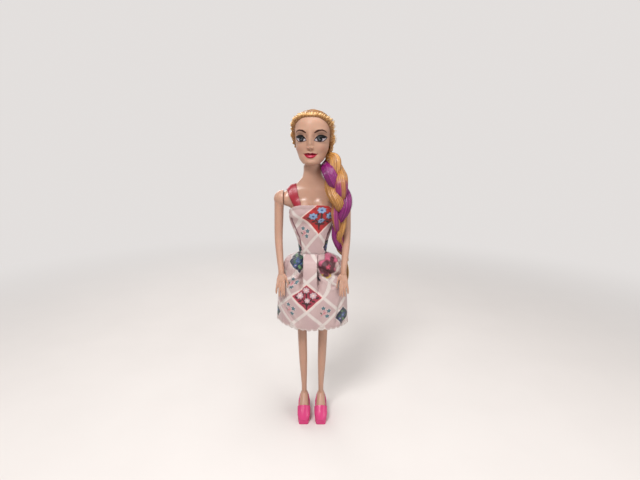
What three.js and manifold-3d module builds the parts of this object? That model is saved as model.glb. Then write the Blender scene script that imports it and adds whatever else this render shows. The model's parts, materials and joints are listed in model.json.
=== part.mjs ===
// A fashion doll, 29 cm tall, standing in platform mules and a printed one-shoulder dress.
// Units are millimetres. +Z is up, the doll faces -Y, and the origin is on the floor between the feet.
// The trunk is two hollow shells closed round an axle for the legs and plugs for the arms and the neck.
import * as THREE from "three";
import { mergeVertices } from "three/addons/utils/BufferGeometryUtils.js";
import Module from "manifold-3d";

const wasm = await Module();
wasm.setup();

// Heights, built up from the floor
const ANKLE_HEIGHT = 20;
const ANKLE_TO_KNEE = 54;
const KNEE_TO_HIP = 72;
const HIP_TO_WAIST = 20;
const WAIST_TO_SHOULDER = 48;
const SHOULDER_TO_NECK_BASE = 17;
const NECK_BASE_TO_CHIN = 13;
const HEAD_HEIGHT = 43;
const KNEE_Z = ANKLE_HEIGHT + ANKLE_TO_KNEE;
const HIP_Z = KNEE_Z + KNEE_TO_HIP;
const WAIST_Z = HIP_Z + HIP_TO_WAIST;
const SHOULDER_Z = WAIST_Z + WAIST_TO_SHOULDER;
const NECK_BASE_Z = SHOULDER_Z + SHOULDER_TO_NECK_BASE;
const CHIN_Z = NECK_BASE_Z + NECK_BASE_TO_CHIN;

// Trunk, as half widths and as depths in front of and behind its middle plane
const HIP_HALF_WIDTH = 17.5;
const HIP_DEPTH = 11;
const WAIST_HALF_WIDTH = 10.9;
const WAIST_DEPTH = 7.4;
const CHEST_HALF_WIDTH = 16.6;
const CHEST_DEPTH = 8.8;
const SHOULDER_HALF_WIDTH = 25.4;
const SHOULDER_DEPTH = 6.4;
const NECK_RADIUS = 6.9;
const NECK_SET_BACK = 1.5;
const BUST_RADIUS = 8.4;
const BUST_SPREAD = 8.2;
const BUST_DROP = 10.5;
const TRUNK_FULLNESS = 0.88;
const SHELL_WALL = 1.5;
const SHELL_SEAM = 0.3;

// Running gaps
const CLEARANCE = 0.35;
const CLOTH_GAP = 0.35;

// Shoulder discs and the plugs that hold the arms
const SHOULDER_DISC_RADIUS = 6.8;
const PLUG_RADIUS = 3;
const PLUG_FLANGE_RADIUS = 4.4;
const PLUG_FLANGE_THICKNESS = 1.4;
const PLUG_REACH = 4;

// Hip joint
const CROTCH_HALF_WIDTH = 6.2;
const HIP_BALL_RADIUS = 10.8;
const AXLE_RADIUS = 2;
const AXLE_HEAD_RADIUS = 2.9;
const AXLE_HEAD_LENGTH = 2;
const AXLE_GRIP = 5;
const THIGH_DEPTH = 8.6;

// Neck joint
const NECK_BALL_RADIUS = 4.4;
const NECK_STEM_RADIUS = 2.2;
const NECK_FLANGE_RADIUS = 4.2;
const NECK_FLANGE_THICKNESS = 1.5;
const SOCKET_WALL = 2.45;
const NOD_DEG = 8;
const BALL_ABOVE_CHIN = 2;

// Head and hair
const FACE_HALF_WIDTH = 15;
const HEAD_DEPTH = 17;
const HEAD_WALL = 2.2;
const NOSE_LENGTH = 3.2;
const HAIR_THICKNESS = 2.7;
const HAIRLINE_DROP = 5.5;
const HAIR_FRONT_PLANE = 3.5;
const HAIR_LOW_SHARE = 0.14;
const HEAD_TURN_DEG = -4;

// Plait
const PLAIT_RADIUS = 8.6;
const PLAIT_LENGTH = 92;
const PLAIT_LOBES = 13;
const TIE_RADIUS = 2.6;
const TIE_HEIGHT = 3;
const TAIL_LENGTH = 24;

// Arms
const UPPER_ARM_LENGTH = 36;
const FOREARM_LENGTH = 28;
const HAND_LENGTH = 21;
const UPPER_ARM_HALF_WIDTH = 4;
const WRIST_HALF_WIDTH = 2.3;
const PALM_HALF_WIDTH = 4.4;
const FINGER_RADIUS = 1.15;
const ARM_REACH_FORWARD = 18.4;

// Legs and feet
const LEG_SPREAD = 10;
const THIGH_HALF_WIDTH = 6.4;
const KNEE_HALF_WIDTH = 4.2;
const ANKLE_HALF_WIDTH = 2.4;
const ANKLE_SPREAD = 8.2;
const ANKLE_SET_BACK = 3;
const FOOT_LENGTH = 29;
const FOOT_HALF_WIDTH = 4.9;
const FOOT_THICKNESS = 3.8;
const FOOT_SLOPE_DEG = 42;
const LEG_BACK_DEG = 35;

// Shoes
const SHOE_WALL = 1.1;
const SOLE_THICKNESS = 1.6;
const HEEL_TOP_RADIUS = 3.1;
const HEEL_TIP_RADIUS = 2.1;
const TOE_OVERHANG = 1.2;

// Dress
const CLOTH_THICKNESS = 0.9;
const BODICE_HEIGHT = 45;
const BODICE_TOP_FALL = 6;
const STRAP_WIDTH = 7.4;
const STRAP_THICKNESS = 0.7;
const STRAP_FOOT_X = 12.4;
const STRAP_TOP_X = 17.2;
const CLOSURE_HALF_GAP = 3.4;
const CLOSURE_HALF_WIDTH = 5;
const SKIRT_LENGTH = 66;
const SKIRT_HALF_WIDTH = 33;
const SKIRT_HALF_DEPTH = 23.5;
const SKIRT_FOLD_DEPTH = 3.4;

// How finely things are faceted, and how far a cutter runs past what it cuts
const BODY_SEGMENTS = 24;
const HALVED_TRUNK_ROWS = 7;
const LIMB_SEGMENTS = 12;
const FINGER_SEGMENTS = 6;
const ROUND_SEGMENTS = 16;
const INNER_SEGMENTS = 14;
const INNER_STEPS = 10;
const BALL_STEPS = 10;
const HEAD_STEPS = 16;
const ARM_STEPS = 9;
const LEG_STEPS = 11;
const FOOT_STEPS = 8;
const SKIRT_STEPS = 8;
const SKIRT_SEGMENTS = 64;
const PLAIT_SEGMENTS = 10;
const PLAIT_STEPS_PER_LOBE = 3;
const OVERRUN = 80;
const WELD = 1e-4;

const X_AXIS = new THREE.Vector3(1, 0, 0);
const Z_AXIS = new THREE.Vector3(0, 0, 1);
const lerp = THREE.MathUtils.lerp;

// A closed solid from a geometry whose faces meet all round
function solidOf(geometry) {
  const loose = geometry.index ? geometry.toNonIndexed() : geometry;
  const bare = new THREE.BufferGeometry();
  bare.setAttribute("position", loose.getAttribute("position"));
  const merged = mergeVertices(bare, WELD);
  const vertProperties = new Float32Array(merged.attributes.position.array);
  const triVerts = new Uint32Array(merged.index.array);
  return new wasm.Manifold(new wasm.Mesh({ numProp: 3, vertProperties, triVerts }));
}

// The geometry of a solid
function geometryOf(solid) {
  const mesh = solid.getMesh();
  const geometry = new THREE.BufferGeometry();
  const places = new Float32Array(mesh.vertProperties);
  geometry.setAttribute("position", new THREE.BufferAttribute(places, 3));
  geometry.setIndex(new THREE.BufferAttribute(new Uint32Array(mesh.triVerts), 1));
  return geometry;
}

// A solid turned left for right, so that a right limb comes from the left one
function mirrored(solid) {
  return solid.scale([-1, 1, 1]);
}

// Sizes that pass smoothly through the rows of a table whose first column is the place along it
function smoothRows(rows) {
  const places = new Float32Array(rows.map((row) => row[0]));
  const sizes = new Float32Array(rows.flatMap((row) => row.slice(1)));
  const curve = new THREE.CubicInterpolant(places, sizes, rows[0].length - 1);
  return (place) => Array.from(curve.evaluate(place));
}

// A ring of points square to a direction, wider in front than behind where asked.
// A fullness under 1 fills the corners out, from an ellipse towards a rounded box.
function ring(centre, along, halfWidth, front, back, segments, fullness = 1) {
  const side = X_AXIS.clone().addScaledVector(along, -along.x).normalize();
  const rear = new THREE.Vector3().crossVectors(along, side);
  return Array.from({ length: segments }, (_, i) => {
    const angle = (2 * Math.PI * i) / segments;
    const [cos, sin] = [Math.cos(angle), Math.sin(angle)];
    const depth = sin > 0 ? back : front;
    const across = side.clone().multiplyScalar(halfWidth * Math.sign(cos) * Math.abs(cos) ** fullness);
    return across.addScaledVector(rear, depth * Math.sign(sin) * Math.abs(sin) ** fullness).add(centre);
  });
}

// A closed skin over a row of rings, each with the same number of points
function loft(rings) {
  const count = rings[0].length;
  const middle = (points) =>
    points.reduce((sum, p) => sum.add(p), new THREE.Vector3()).divideScalar(count);
  const places = [];
  const face = (...points) => points.forEach((p) => places.push(p.x, p.y, p.z));
  rings.slice(1).forEach((upper, k) => {
    const lower = rings[k];
    lower.forEach((a, i) => {
      const j = (i + 1) % count;
      face(a, lower[j], upper[j]);
      face(a, upper[j], upper[i]);
    });
  });
  const [first, last] = [rings[0], rings[rings.length - 1]];
  const [foot, top] = [middle(first), middle(last)];
  first.forEach((a, i) => face(foot, first[(i + 1) % count], a));
  last.forEach((a, i) => face(top, a, last[(i + 1) % count]));
  const geometry = new THREE.BufferGeometry();
  geometry.setAttribute("position", new THREE.Float32BufferAttribute(places, 3));
  return geometry;
}

// A box from its lowest to its highest corner
function box(low, high) {
  const size = high.map((value, i) => value - low[i]);
  const middle = high.map((value, i) => (value + low[i]) / 2);
  return solidOf(new THREE.BoxGeometry(...size).translate(...middle));
}

// An egg with its own radius along each axis
function egg(centre, radii, segments = ROUND_SEGMENTS) {
  const sphere = new THREE.SphereGeometry(1, segments, segments / 2);
  return solidOf(sphere.scale(...radii).translate(...centre));
}

// A turned solid about the X axis, from pairs of radius and place
function turnedAcross(pairs, segments = ROUND_SEGMENTS) {
  const profile = pairs.map(([radius, place]) => new THREE.Vector2(radius, place));
  return solidOf(new THREE.LatheGeometry(profile, segments).rotateZ(-Math.PI / 2));
}

// A turned solid about the Z axis, from pairs of radius and height
function turnedUpright(pairs, segments = ROUND_SEGMENTS) {
  const profile = pairs.map(([radius, place]) => new THREE.Vector2(radius, place));
  return solidOf(new THREE.LatheGeometry(profile, segments).rotateX(Math.PI / 2));
}

// Trunk: half width, front, back and middle at each height
const CROTCH_Z = HIP_Z - HIP_BALL_RADIUS;
const NECK_BALL_Z = CHIN_Z + BALL_ABOVE_CHIN;
const TRUNK_TOP_SHARES = [
  [0, 0.88, 1, 1],
  [0.42, 0.87, 0.92, 1],
  [0.72, 0.62, 0.84, 0.95],
];
function trunkRows(grow) {
  const shoulderRise = NECK_BASE_Z - SHOULDER_Z;
  const rows = [
    [CROTCH_Z - grow, CROTCH_HALF_WIDTH * 0.7, HIP_DEPTH * 0.4, HIP_DEPTH * 0.5, 0],
    [lerp(CROTCH_Z, HIP_Z, 0.35), HIP_HALF_WIDTH * 0.8, HIP_DEPTH * 0.85, HIP_DEPTH, 0],
    [HIP_Z, HIP_HALF_WIDTH, HIP_DEPTH * 0.95, HIP_DEPTH * 1.1, 0],
    [lerp(HIP_Z, WAIST_Z, 0.5), HIP_HALF_WIDTH * 0.93, HIP_DEPTH * 0.9, HIP_DEPTH, 0],
    [WAIST_Z, WAIST_HALF_WIDTH, WAIST_DEPTH, WAIST_DEPTH, 0],
    [lerp(WAIST_Z, SHOULDER_Z, 0.4), CHEST_HALF_WIDTH * 0.86, CHEST_DEPTH, CHEST_DEPTH * 0.9, 0],
    [lerp(WAIST_Z, SHOULDER_Z, 0.75), CHEST_HALF_WIDTH, CHEST_DEPTH, CHEST_DEPTH * 0.95, 0],
    [
      lerp(WAIST_Z, SHOULDER_Z, 0.9), lerp(CHEST_HALF_WIDTH, SHOULDER_HALF_WIDTH, 0.55),
      lerp(CHEST_DEPTH, SHOULDER_DEPTH, 0.6), lerp(CHEST_DEPTH, SHOULDER_DEPTH, 0.5), 0,
    ],
    ...TRUNK_TOP_SHARES.map(([up, wide, front, back]) => [
      SHOULDER_Z + up * shoulderRise + grow * up,
      SHOULDER_HALF_WIDTH * wide,
      SHOULDER_DEPTH * front,
      SHOULDER_DEPTH * back,
      NECK_SET_BACK * up,
    ]),
    [NECK_BASE_Z + grow, NECK_RADIUS * 1.2, NECK_RADIUS * 0.95, NECK_RADIUS, NECK_SET_BACK],
    [lerp(NECK_BASE_Z, CHIN_Z, 0.35) + grow, NECK_RADIUS, NECK_RADIUS, NECK_RADIUS, NECK_SET_BACK],
    [NECK_BALL_Z, NECK_RADIUS, NECK_RADIUS, NECK_RADIUS, NECK_SET_BACK],
  ];
  return rows.map(([z, wide, front, back, y]) => [z, wide + grow, front + grow, back + grow, y]);
}
const bustMiddle = { y: BUST_RADIUS * 0.3 - CHEST_DEPTH, z: SHOULDER_Z - BUST_DROP };
function trunkSolid(grow, segments = BODY_SEGMENTS) {
  const rows = trunkRows(grow);
  const sizes = smoothRows(rows);
  const heights = rows.flatMap(([z], i) => (
    i && i <= HALVED_TRUNK_ROWS ? [lerp(rows[i - 1][0], z, 0.5), z] : [z]
  ));
  const rings = heights.map((z) => {
    const [wide, front, back, y] = sizes(z);
    return ring(new THREE.Vector3(0, y, z), Z_AXIS, wide, front, back, segments, TRUNK_FULLNESS);
  });
  const bust = [-1, 1].map((s) => {
    const radii = [1, 0.95, 1.05].map((share) => share * BUST_RADIUS + grow);
    return egg([s * BUST_SPREAD, bustMiddle.y, bustMiddle.z], radii, LIMB_SEGMENTS);
  });
  return solidOf(loft(rings)).add(bust[0]).add(bust[1]);
}

// The flat round faces that the arms turn against
function shoulderDiscs(grow) {
  const radius = SHOULDER_DISC_RADIUS + grow;
  const reach = SHOULDER_HALF_WIDTH - CLEARANCE + Math.min(grow, 0);
  const [root, brim] = [reach - SHOULDER_DISC_RADIUS * 1.2, reach - SHOULDER_DISC_RADIUS * 0.3];
  const left = turnedAcross([
    [0, root], [radius * 0.6, root], [radius, brim], [radius, reach], [0, reach],
  ]).translate([0, 0, SHOULDER_Z]);
  return left.add(mirrored(left));
}

// Trunk and shoulders together, as the clothes lie on them, drawn straight across the bust
function dressForm(grow) {
  const bridge = [BUST_SPREAD + BUST_RADIUS * 0.62, BUST_RADIUS * 0.93 + grow, BUST_RADIUS + grow];
  return trunkSolid(grow)
    .add(shoulderDiscs(grow))
    .add(egg([0, bustMiddle.y, bustMiddle.z], bridge, LIMB_SEGMENTS));
}

// The space that each thigh needs as it swings, on both sides of the crotch
function hipSpace(grow) {
  const inner = CROTCH_HALF_WIDTH - grow;
  const radius = HIP_BALL_RADIUS + CLEARANCE + grow;
  const frontTop = HIP_Z + THIGH_DEPTH + CLEARANCE + grow;
  const backTop = HIP_Z + THIGH_DEPTH * Math.sin(THREE.MathUtils.degToRad(LEG_BACK_DEG)) + grow;
  const wheel = [[0, inner], [radius, inner], [radius, OVERRUN], [0, OVERRUN]];
  const half = turnedAcross(wheel)
    .translate([0, 0, HIP_Z])
    .add(box([inner, -OVERRUN, CROTCH_Z - OVERRUN], [OVERRUN, 0, frontTop]))
    .add(box([inner, -grow, CROTCH_Z - OVERRUN], [OVERRUN, OVERRUN, backTop + CLEARANCE]));
  return half.add(mirrored(half));
}

const neckBall = [0, NECK_SET_BACK, NECK_BALL_Z];
const SOCKET_RADIUS = NECK_BALL_RADIUS + CLEARANCE + SOCKET_WALL;
const plugInner = SHOULDER_HALF_WIDTH - CLEARANCE - SHELL_WALL - CLEARANCE - PLUG_FLANGE_THICKNESS;
const axleEnd = CROTCH_HALF_WIDTH + CLEARANCE + AXLE_GRIP + AXLE_HEAD_LENGTH;

// Trunk with its hollow, its holes for the plugs, axle and neck post, before it is split
function trunkShell() {
  const cup = egg(neckBall, Array(3).fill(SOCKET_RADIUS + CLEARANCE));
  const outer = trunkSolid(0).add(shoulderDiscs(0)).subtract(hipSpace(0)).subtract(cup);
  const hollow = trunkSolid(-SHELL_WALL, INNER_SEGMENTS)
    .add(shoulderDiscs(-SHELL_WALL))
    .subtract(hipSpace(SHELL_WALL))
    .subtract(box([-OVERRUN, -OVERRUN, NECK_BASE_Z], [OVERRUN, OVERRUN, NECK_BALL_Z + OVERRUN]));
  const plugHole = PLUG_RADIUS + CLEARANCE;
  const plugs = turnedAcross([
    [0, -OVERRUN], [plugHole, -OVERRUN], [plugHole, OVERRUN], [0, OVERRUN],
  ]).translate([0, 0, SHOULDER_Z]);
  const axleHole = AXLE_RADIUS + CLEARANCE;
  const axle = turnedAcross([
    [0, -OVERRUN], [axleHole, -OVERRUN], [axleHole, OVERRUN], [0, OVERRUN],
  ]).translate([0, 0, HIP_Z]);
  const stemHole = NECK_STEM_RADIUS + CLEARANCE;
  const stem = turnedUpright([
    [0, SHOULDER_Z], [stemHole, SHOULDER_Z], [stemHole, NECK_BALL_Z], [0, NECK_BALL_Z],
  ]).translate([0, NECK_SET_BACK, 0]);
  return outer.subtract(hollow).subtract(plugs).subtract(axle).subtract(stem);
}

// The plug that joins an arm to its shoulder disc, on the doll's left
function shoulderPlug() {
  const flangeEnd = plugInner + PLUG_FLANGE_THICKNESS;
  const end = SHOULDER_HALF_WIDTH + PLUG_REACH;
  return turnedAcross([
    [0, plugInner], [PLUG_FLANGE_RADIUS, plugInner], [PLUG_FLANGE_RADIUS, flangeEnd],
    [PLUG_RADIUS, flangeEnd], [PLUG_RADIUS, end], [0, end],
  ]).translate([0, 0, SHOULDER_Z]);
}

// The axle through both thighs, with a snap head at each end
function hipAxle(grow) {
  const neck = axleEnd - AXLE_HEAD_LENGTH;
  const [stem, head] = [AXLE_RADIUS + grow, AXLE_HEAD_RADIUS + grow];
  const half = [[stem, neck - grow], [head, neck - grow], [head, axleEnd + grow], [0, axleEnd + grow]];
  const other = half.map(([radius, place]) => [radius, -place]).reverse();
  return turnedAcross([...other, ...half]).translate([0, 0, HIP_Z]);
}

// The neck post: a ball for the head to nod on, a stem that turns in the neck, and a flange below
function neckPost() {
  const flangeTop = NECK_BASE_Z - CLEARANCE;
  const flangeLow = flangeTop - NECK_FLANGE_THICKNESS;
  const meet = NECK_BALL_Z - Math.sqrt(NECK_BALL_RADIUS ** 2 - NECK_STEM_RADIUS ** 2);
  const start = Math.asin(NECK_STEM_RADIUS / NECK_BALL_RADIUS);
  const cap = Array.from({ length: BALL_STEPS + 1 }, (_, i) => {
    const angle = lerp(start, Math.PI, i / BALL_STEPS);
    return [NECK_BALL_RADIUS * Math.sin(angle), NECK_BALL_Z - NECK_BALL_RADIUS * Math.cos(angle)];
  });
  cap[0][1] = meet;
  cap[BALL_STEPS][0] = 0;
  return turnedUpright([
    [0, flangeLow], [NECK_FLANGE_RADIUS, flangeLow], [NECK_FLANGE_RADIUS, flangeTop],
    [NECK_STEM_RADIUS, flangeTop], ...cap,
  ]).translate([0, NECK_SET_BACK, 0]);
}

// Head: place up the head, half width, front and back reach, and middle, as shares of its sizes
const HEAD_SHARES = [
  [0, 0.16, 0.16, 0.12, -0.66],
  [0.03, 0.36, 0.3, 0.3, -0.54],
  [0.09, 0.55, 0.5, 0.5, -0.36],
  [0.17, 0.71, 0.66, 0.66, -0.2],
  [0.28, 0.84, 0.8, 0.84, -0.1],
  [0.42, 0.93, 0.93, 0.98, -0.02],
  [0.56, 0.99, 0.99, 1.06, 0.02],
  [0.7, 1, 0.98, 1.06, 0.04],
  [0.83, 0.9, 0.86, 0.92, 0.05],
  [0.92, 0.68, 0.65, 0.68, 0.06],
  [0.98, 0.36, 0.34, 0.36, 0.06],
  [1, 0.1, 0.1, 0.1, 0.06],
];
function headLoft(grow, lowShare = 0, segments = BODY_SEGMENTS, steps = HEAD_STEPS) {
  const sizes = smoothRows(HEAD_SHARES);
  const middle = CHIN_Z + HEAD_HEIGHT / 2;
  const stretch = (HEAD_HEIGHT / 2 + grow) / (HEAD_HEIGHT / 2);
  const rings = Array.from({ length: steps + 1 }, (_, i) => {
    const share = lerp(lowShare, 1, 0.5 - 0.5 * Math.cos((Math.PI * i) / steps));
    const [wide, front, back, shift] = sizes(share);
    const z = middle + (share - 0.5) * HEAD_HEIGHT * stretch;
    const centre = new THREE.Vector3(0, shift * HEAD_DEPTH, z);
    const room = grow * Math.min(1, wide * 2);
    return ring(centre, Z_AXIS, wide * FACE_HALF_WIDTH + room, front * HEAD_DEPTH + room,
      back * HEAD_DEPTH + room, segments);
  });
  return solidOf(loft(rings));
}

const NOSE_SHARES = [
  [0.335, 0.055, 0.05],
  [0.36, 0.125, 0.85],
  [0.41, 0.11, 1],
  [0.47, 0.075, 0.62],
  [0.56, 0.06, 0.25],
  [0.6, 0.045, 0.05],
];
function nose() {
  const sizes = smoothRows(HEAD_SHARES);
  const rings = NOSE_SHARES.map(([up, wide, out]) => {
    const [, front, , shift] = sizes(up);
    const skin = (shift - front) * HEAD_DEPTH;
    const reach = out * NOSE_LENGTH;
    const centre = new THREE.Vector3(0, skin, CHIN_Z + up * HEAD_HEIGHT);
    return ring(centre, Z_AXIS, wide * FACE_HALF_WIDTH, reach, NOSE_LENGTH * 0.5, FINGER_SEGMENTS);
  });
  return solidOf(loft(rings));
}

// The head turns about the neck, so it and its hair are made straight and then turned
function turnedHead(solid) {
  return solid
    .translate([0, -NECK_SET_BACK, 0])
    .rotate([0, 0, HEAD_TURN_DEG])
    .translate([0, NECK_SET_BACK, 0]);
}

// Soft hollow head with a round stub below it that seats in the neck and holds the ball
function headSolid() {
  const stub = egg(neckBall, Array(3).fill(SOCKET_RADIUS));
  const pocket = egg(neckBall, Array(3).fill(NECK_BALL_RADIUS + CLEARANCE));
  const swing = Math.tan(THREE.MathUtils.degToRad(NOD_DEG * 1.5));
  const throat = NECK_STEM_RADIUS + CLEARANCE;
  const deep = SOCKET_RADIUS + CLEARANCE;
  const mouth = turnedUpright([
    [0, -deep], [throat + deep * swing, -deep], [throat, 0], [0, 0],
  ]).translate(neckBall);
  const hollowFloor = NECK_BALL_Z + SOCKET_RADIUS;
  const hollow = headLoft(-HEAD_WALL, 0, INNER_SEGMENTS, INNER_STEPS)
    .subtract(box([-OVERRUN, -OVERRUN, CHIN_Z - OVERRUN], [OVERRUN, OVERRUN, hollowFloor]));
  const vent = turnedUpright([[0, 0], [throat, 0], [throat, deep], [0, deep]]).translate(neckBall);
  return headLoft(0)
    .add(stub)
    .add(nose())
    .subtract(pocket)
    .subtract(mouth)
    .subtract(vent)
    .subtract(hollow);
}

// Rooted hair combed back off the face, as one cap over the scalp
const FACE_OPENING_SHARES = [
  [-1.5, -1], [1.5, -1], [1.5, 0.38], [1.02, 0.5], [0.93, 0.68], [0.7, 0.85], [0.36, 0.965],
  [0, 1], [-0.36, 0.965], [-0.7, 0.85], [-0.93, 0.68], [-1.02, 0.5], [-1.5, 0.38],
];
function hairCap() {
  const hairlineZ = CHIN_Z + HEAD_HEIGHT - HAIRLINE_DROP;
  const outline = new THREE.Shape(
    FACE_OPENING_SHARES.map(([across, up]) => new THREE.Vector2(
      across * FACE_HALF_WIDTH,
      lerp(CHIN_Z, hairlineZ, up),
    )),
  );
  const window = new THREE.ExtrudeGeometry(outline, { depth: OVERRUN, bevelEnabled: false });
  const opening = solidOf(window.rotateX(Math.PI / 2)).translate([0, -HAIR_FRONT_PLANE, 0]);
  const nape = box(
    [-OVERRUN, -OVERRUN, CHIN_Z - OVERRUN],
    [OVERRUN, OVERRUN, CHIN_Z + HEAD_HEIGHT * HAIR_LOW_SHARE],
  );
  const stub = egg(neckBall, Array(3).fill(SOCKET_RADIUS + CLEARANCE));
  return headLoft(HAIR_THICKNESS, HAIR_LOW_SHARE / 2)
    .subtract(headLoft(CLEARANCE))
    .subtract(opening)
    .subtract(nape)
    .subtract(stub);
}

// Arm on the doll's left, at shares of its length: outward place, forward reach, half width and depth
const ARM_LENGTH = UPPER_ARM_LENGTH + FOREARM_LENGTH;
const ELBOW_SHARE = UPPER_ARM_LENGTH / ARM_LENGTH;
const ARM_SHARES = [
  [0, 0, 0, 1.02, 1.28],
  [ELBOW_SHARE * 0.45, 0.1, 0.02, 1, 1.2],
  [ELBOW_SHARE, 0.18, 0.14, 0.9, 1],
  [lerp(ELBOW_SHARE, 1, 0.45), -0.1, 0.38, 0.8, 0.86],
  [1, -0.55, 0.74, 0.575, 0.68],
];
const armAxisX = SHOULDER_HALF_WIDTH + UPPER_ARM_HALF_WIDTH;
function armPlace(share) {
  const [out, forward] = smoothRows(ARM_SHARES)(share);
  return new THREE.Vector3(
    armAxisX + out * UPPER_ARM_HALF_WIDTH,
    -forward * ARM_REACH_FORWARD,
    SHOULDER_Z - share * ARM_LENGTH,
  );
}

// A tapered limb through places, each with its half width, front and back
function limb(stations, segments) {
  const curve = new THREE.CatmullRomCurve3(stations.map((s) => s.place));
  const rings = stations.map(({ wide, front, back }, i) => {
    const along = curve.getTangent(i / (stations.length - 1)).negate();
    return ring(stations[i].place, along, wide, front, back, segments);
  });
  return solidOf(loft(rings.reverse()));
}

// Hand: each finger's place across the palm and length, and how a finger tapers
const FINGER_SHARES = [[-0.72, 0.86], [-0.24, 1], [0.24, 0.97], [0.7, 0.8]];
const FINGER_TAPER_SHARES = [[0, 1], [0.45, 1.02], [0.85, 0.86], [1, 0.5]];
function hand(wrist, heading) {
  const palmLength = HAND_LENGTH * 0.5;
  const fingerLength = HAND_LENGTH - palmLength;
  const at = (along, across, forward) => wrist.clone()
    .addScaledVector(heading, along)
    .add(new THREE.Vector3(across, -forward, 0));
  const thick = FINGER_RADIUS * 1.7;
  const palmRows = [
    [-thick, WRIST_HALF_WIDTH, thick],
    [palmLength * 0.35, PALM_HALF_WIDTH * 0.85, thick],
    [palmLength * 0.8, PALM_HALF_WIDTH, thick * 0.9],
    [palmLength * 1.08, PALM_HALF_WIDTH * 0.9, FINGER_RADIUS],
  ];
  const palm = limb(palmRows.map(([along, wide, deep]) => (
    { place: at(along, 0, 0), wide, front: deep, back: deep }
  )), FINGER_SEGMENTS + 2);
  const fingers = FINGER_SHARES.map(([across, long]) => limb(
    FINGER_TAPER_SHARES.map(([along, size]) => ({
      place: at(
        palmLength * 0.9 + along * long * fingerLength,
        across * PALM_HALF_WIDTH * (1 - 0.12 * along),
        along * along * FINGER_RADIUS,
      ),
      wide: FINGER_RADIUS * size,
      front: FINGER_RADIUS * size,
      back: FINGER_RADIUS * size,
    })), FINGER_SEGMENTS));
  const thumb = limb(FINGER_TAPER_SHARES.map(([along, size]) => ({
    place: at(
      palmLength * (0.3 + 0.75 * along),
      -PALM_HALF_WIDTH * (0.5 + 0.75 * Math.sin(along * 1.6)),
      FINGER_RADIUS * (0.4 + along),
    ),
    wide: FINGER_RADIUS * size * 1.1,
    front: FINGER_RADIUS * size * 1.1,
    back: FINGER_RADIUS * size * 1.1,
  })), FINGER_SEGMENTS);
  return [palm, ...fingers, thumb].reduce((sum, piece) => sum.add(piece));
}

function armSolid() {
  const sizes = smoothRows(ARM_SHARES);
  const stations = Array.from({ length: ARM_STEPS + 1 }, (_, i) => {
    const [, , wide, deep] = sizes(i / ARM_STEPS);
    const depth = deep * UPPER_ARM_HALF_WIDTH;
    return {
      place: armPlace(i / ARM_STEPS),
      wide: wide * UPPER_ARM_HALF_WIDTH,
      front: depth,
      back: depth,
    };
  });
  const wrist = stations[ARM_STEPS].place;
  const heading = wrist.clone().sub(stations[ARM_STEPS - 1].place).setX(0).normalize();
  const cap = egg(
    [SHOULDER_HALF_WIDTH, 0, SHOULDER_Z],
    [UPPER_ARM_HALF_WIDTH * 2, SHOULDER_DISC_RADIUS, SHOULDER_DISC_RADIUS * 1.12],
    LIMB_SEGMENTS,
  );
  const trunkSide = box(
    [-OVERRUN, -OVERRUN, SHOULDER_Z - ARM_LENGTH],
    [SHOULDER_HALF_WIDTH, OVERRUN, SHOULDER_Z + OVERRUN],
  );
  const bore = PLUG_RADIUS + CLEARANCE;
  const boreEnd = SHOULDER_HALF_WIDTH + PLUG_REACH + CLEARANCE;
  const plugHole = turnedAcross([[0, 0], [bore, 0], [bore, boreEnd], [0, boreEnd]])
    .translate([0, 0, SHOULDER_Z]);
  return limb(stations, LIMB_SEGMENTS)
    .add(cap)
    .add(hand(wrist, heading))
    .subtract(trunkSide)
    .subtract(plugHole);
}

// Leg on the doll's left: height share from the hip down, then outward place, half width, front, back
const hipAxisX = CROTCH_HALF_WIDTH + CLEARANCE + THIGH_HALF_WIDTH * 0.88;
const footAngle = THREE.MathUtils.degToRad(FOOT_SLOPE_DEG);
const footAlong = new THREE.Vector3(0, -Math.cos(footAngle), -Math.sin(footAngle));
const footUp = new THREE.Vector3(0, -Math.sin(footAngle), Math.cos(footAngle));
const FOOT_SHARES = [
  [0, 0.3, 0.3, 0.4],
  [0.05, 0.56, 0.7, 0.84],
  [0.16, 0.76, 1.05, 1.08],
  [0.34, 0.84, 1.05, 0.98],
  [0.54, 0.93, 0.86, 0.82],
  [0.7, 1, 0.7, 0.68],
  [0.86, 0.93, 0.52, 0.5],
  [0.95, 0.72, 0.36, 0.34],
  [1, 0.34, 0.18, 0.16],
];
const HEEL_SHARE = 0.17;
const footStart = new THREE.Vector3(ANKLE_SPREAD, ANKLE_SET_BACK, ANKLE_HEIGHT)
  .addScaledVector(footAlong, -HEEL_SHARE * FOOT_LENGTH);
function footRings(grow, from, to, growing) {
  const sizes = smoothRows(FOOT_SHARES);
  const rings = Array.from({ length: FOOT_STEPS + 1 }, (_, i) => {
    const share = lerp(from, to, i / FOOT_STEPS);
    const held = growing ? FOOT_SHARES.filter((row) => row[0] >= share) : [];
    const own = sizes(share);
    const [wide, up, down] = own.map((size, k) => Math.max(size, ...held.map((row) => row[k + 1])));
    const centre = footStart.clone().addScaledVector(footAlong, share * FOOT_LENGTH);
    const top = up * FOOT_THICKNESS + grow;
    const low = down * FOOT_THICKNESS + grow;
    return ring(centre, footAlong, wide * FOOT_HALF_WIDTH + grow, low, top, LIMB_SEGMENTS);
  });
  return rings;
}
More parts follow.
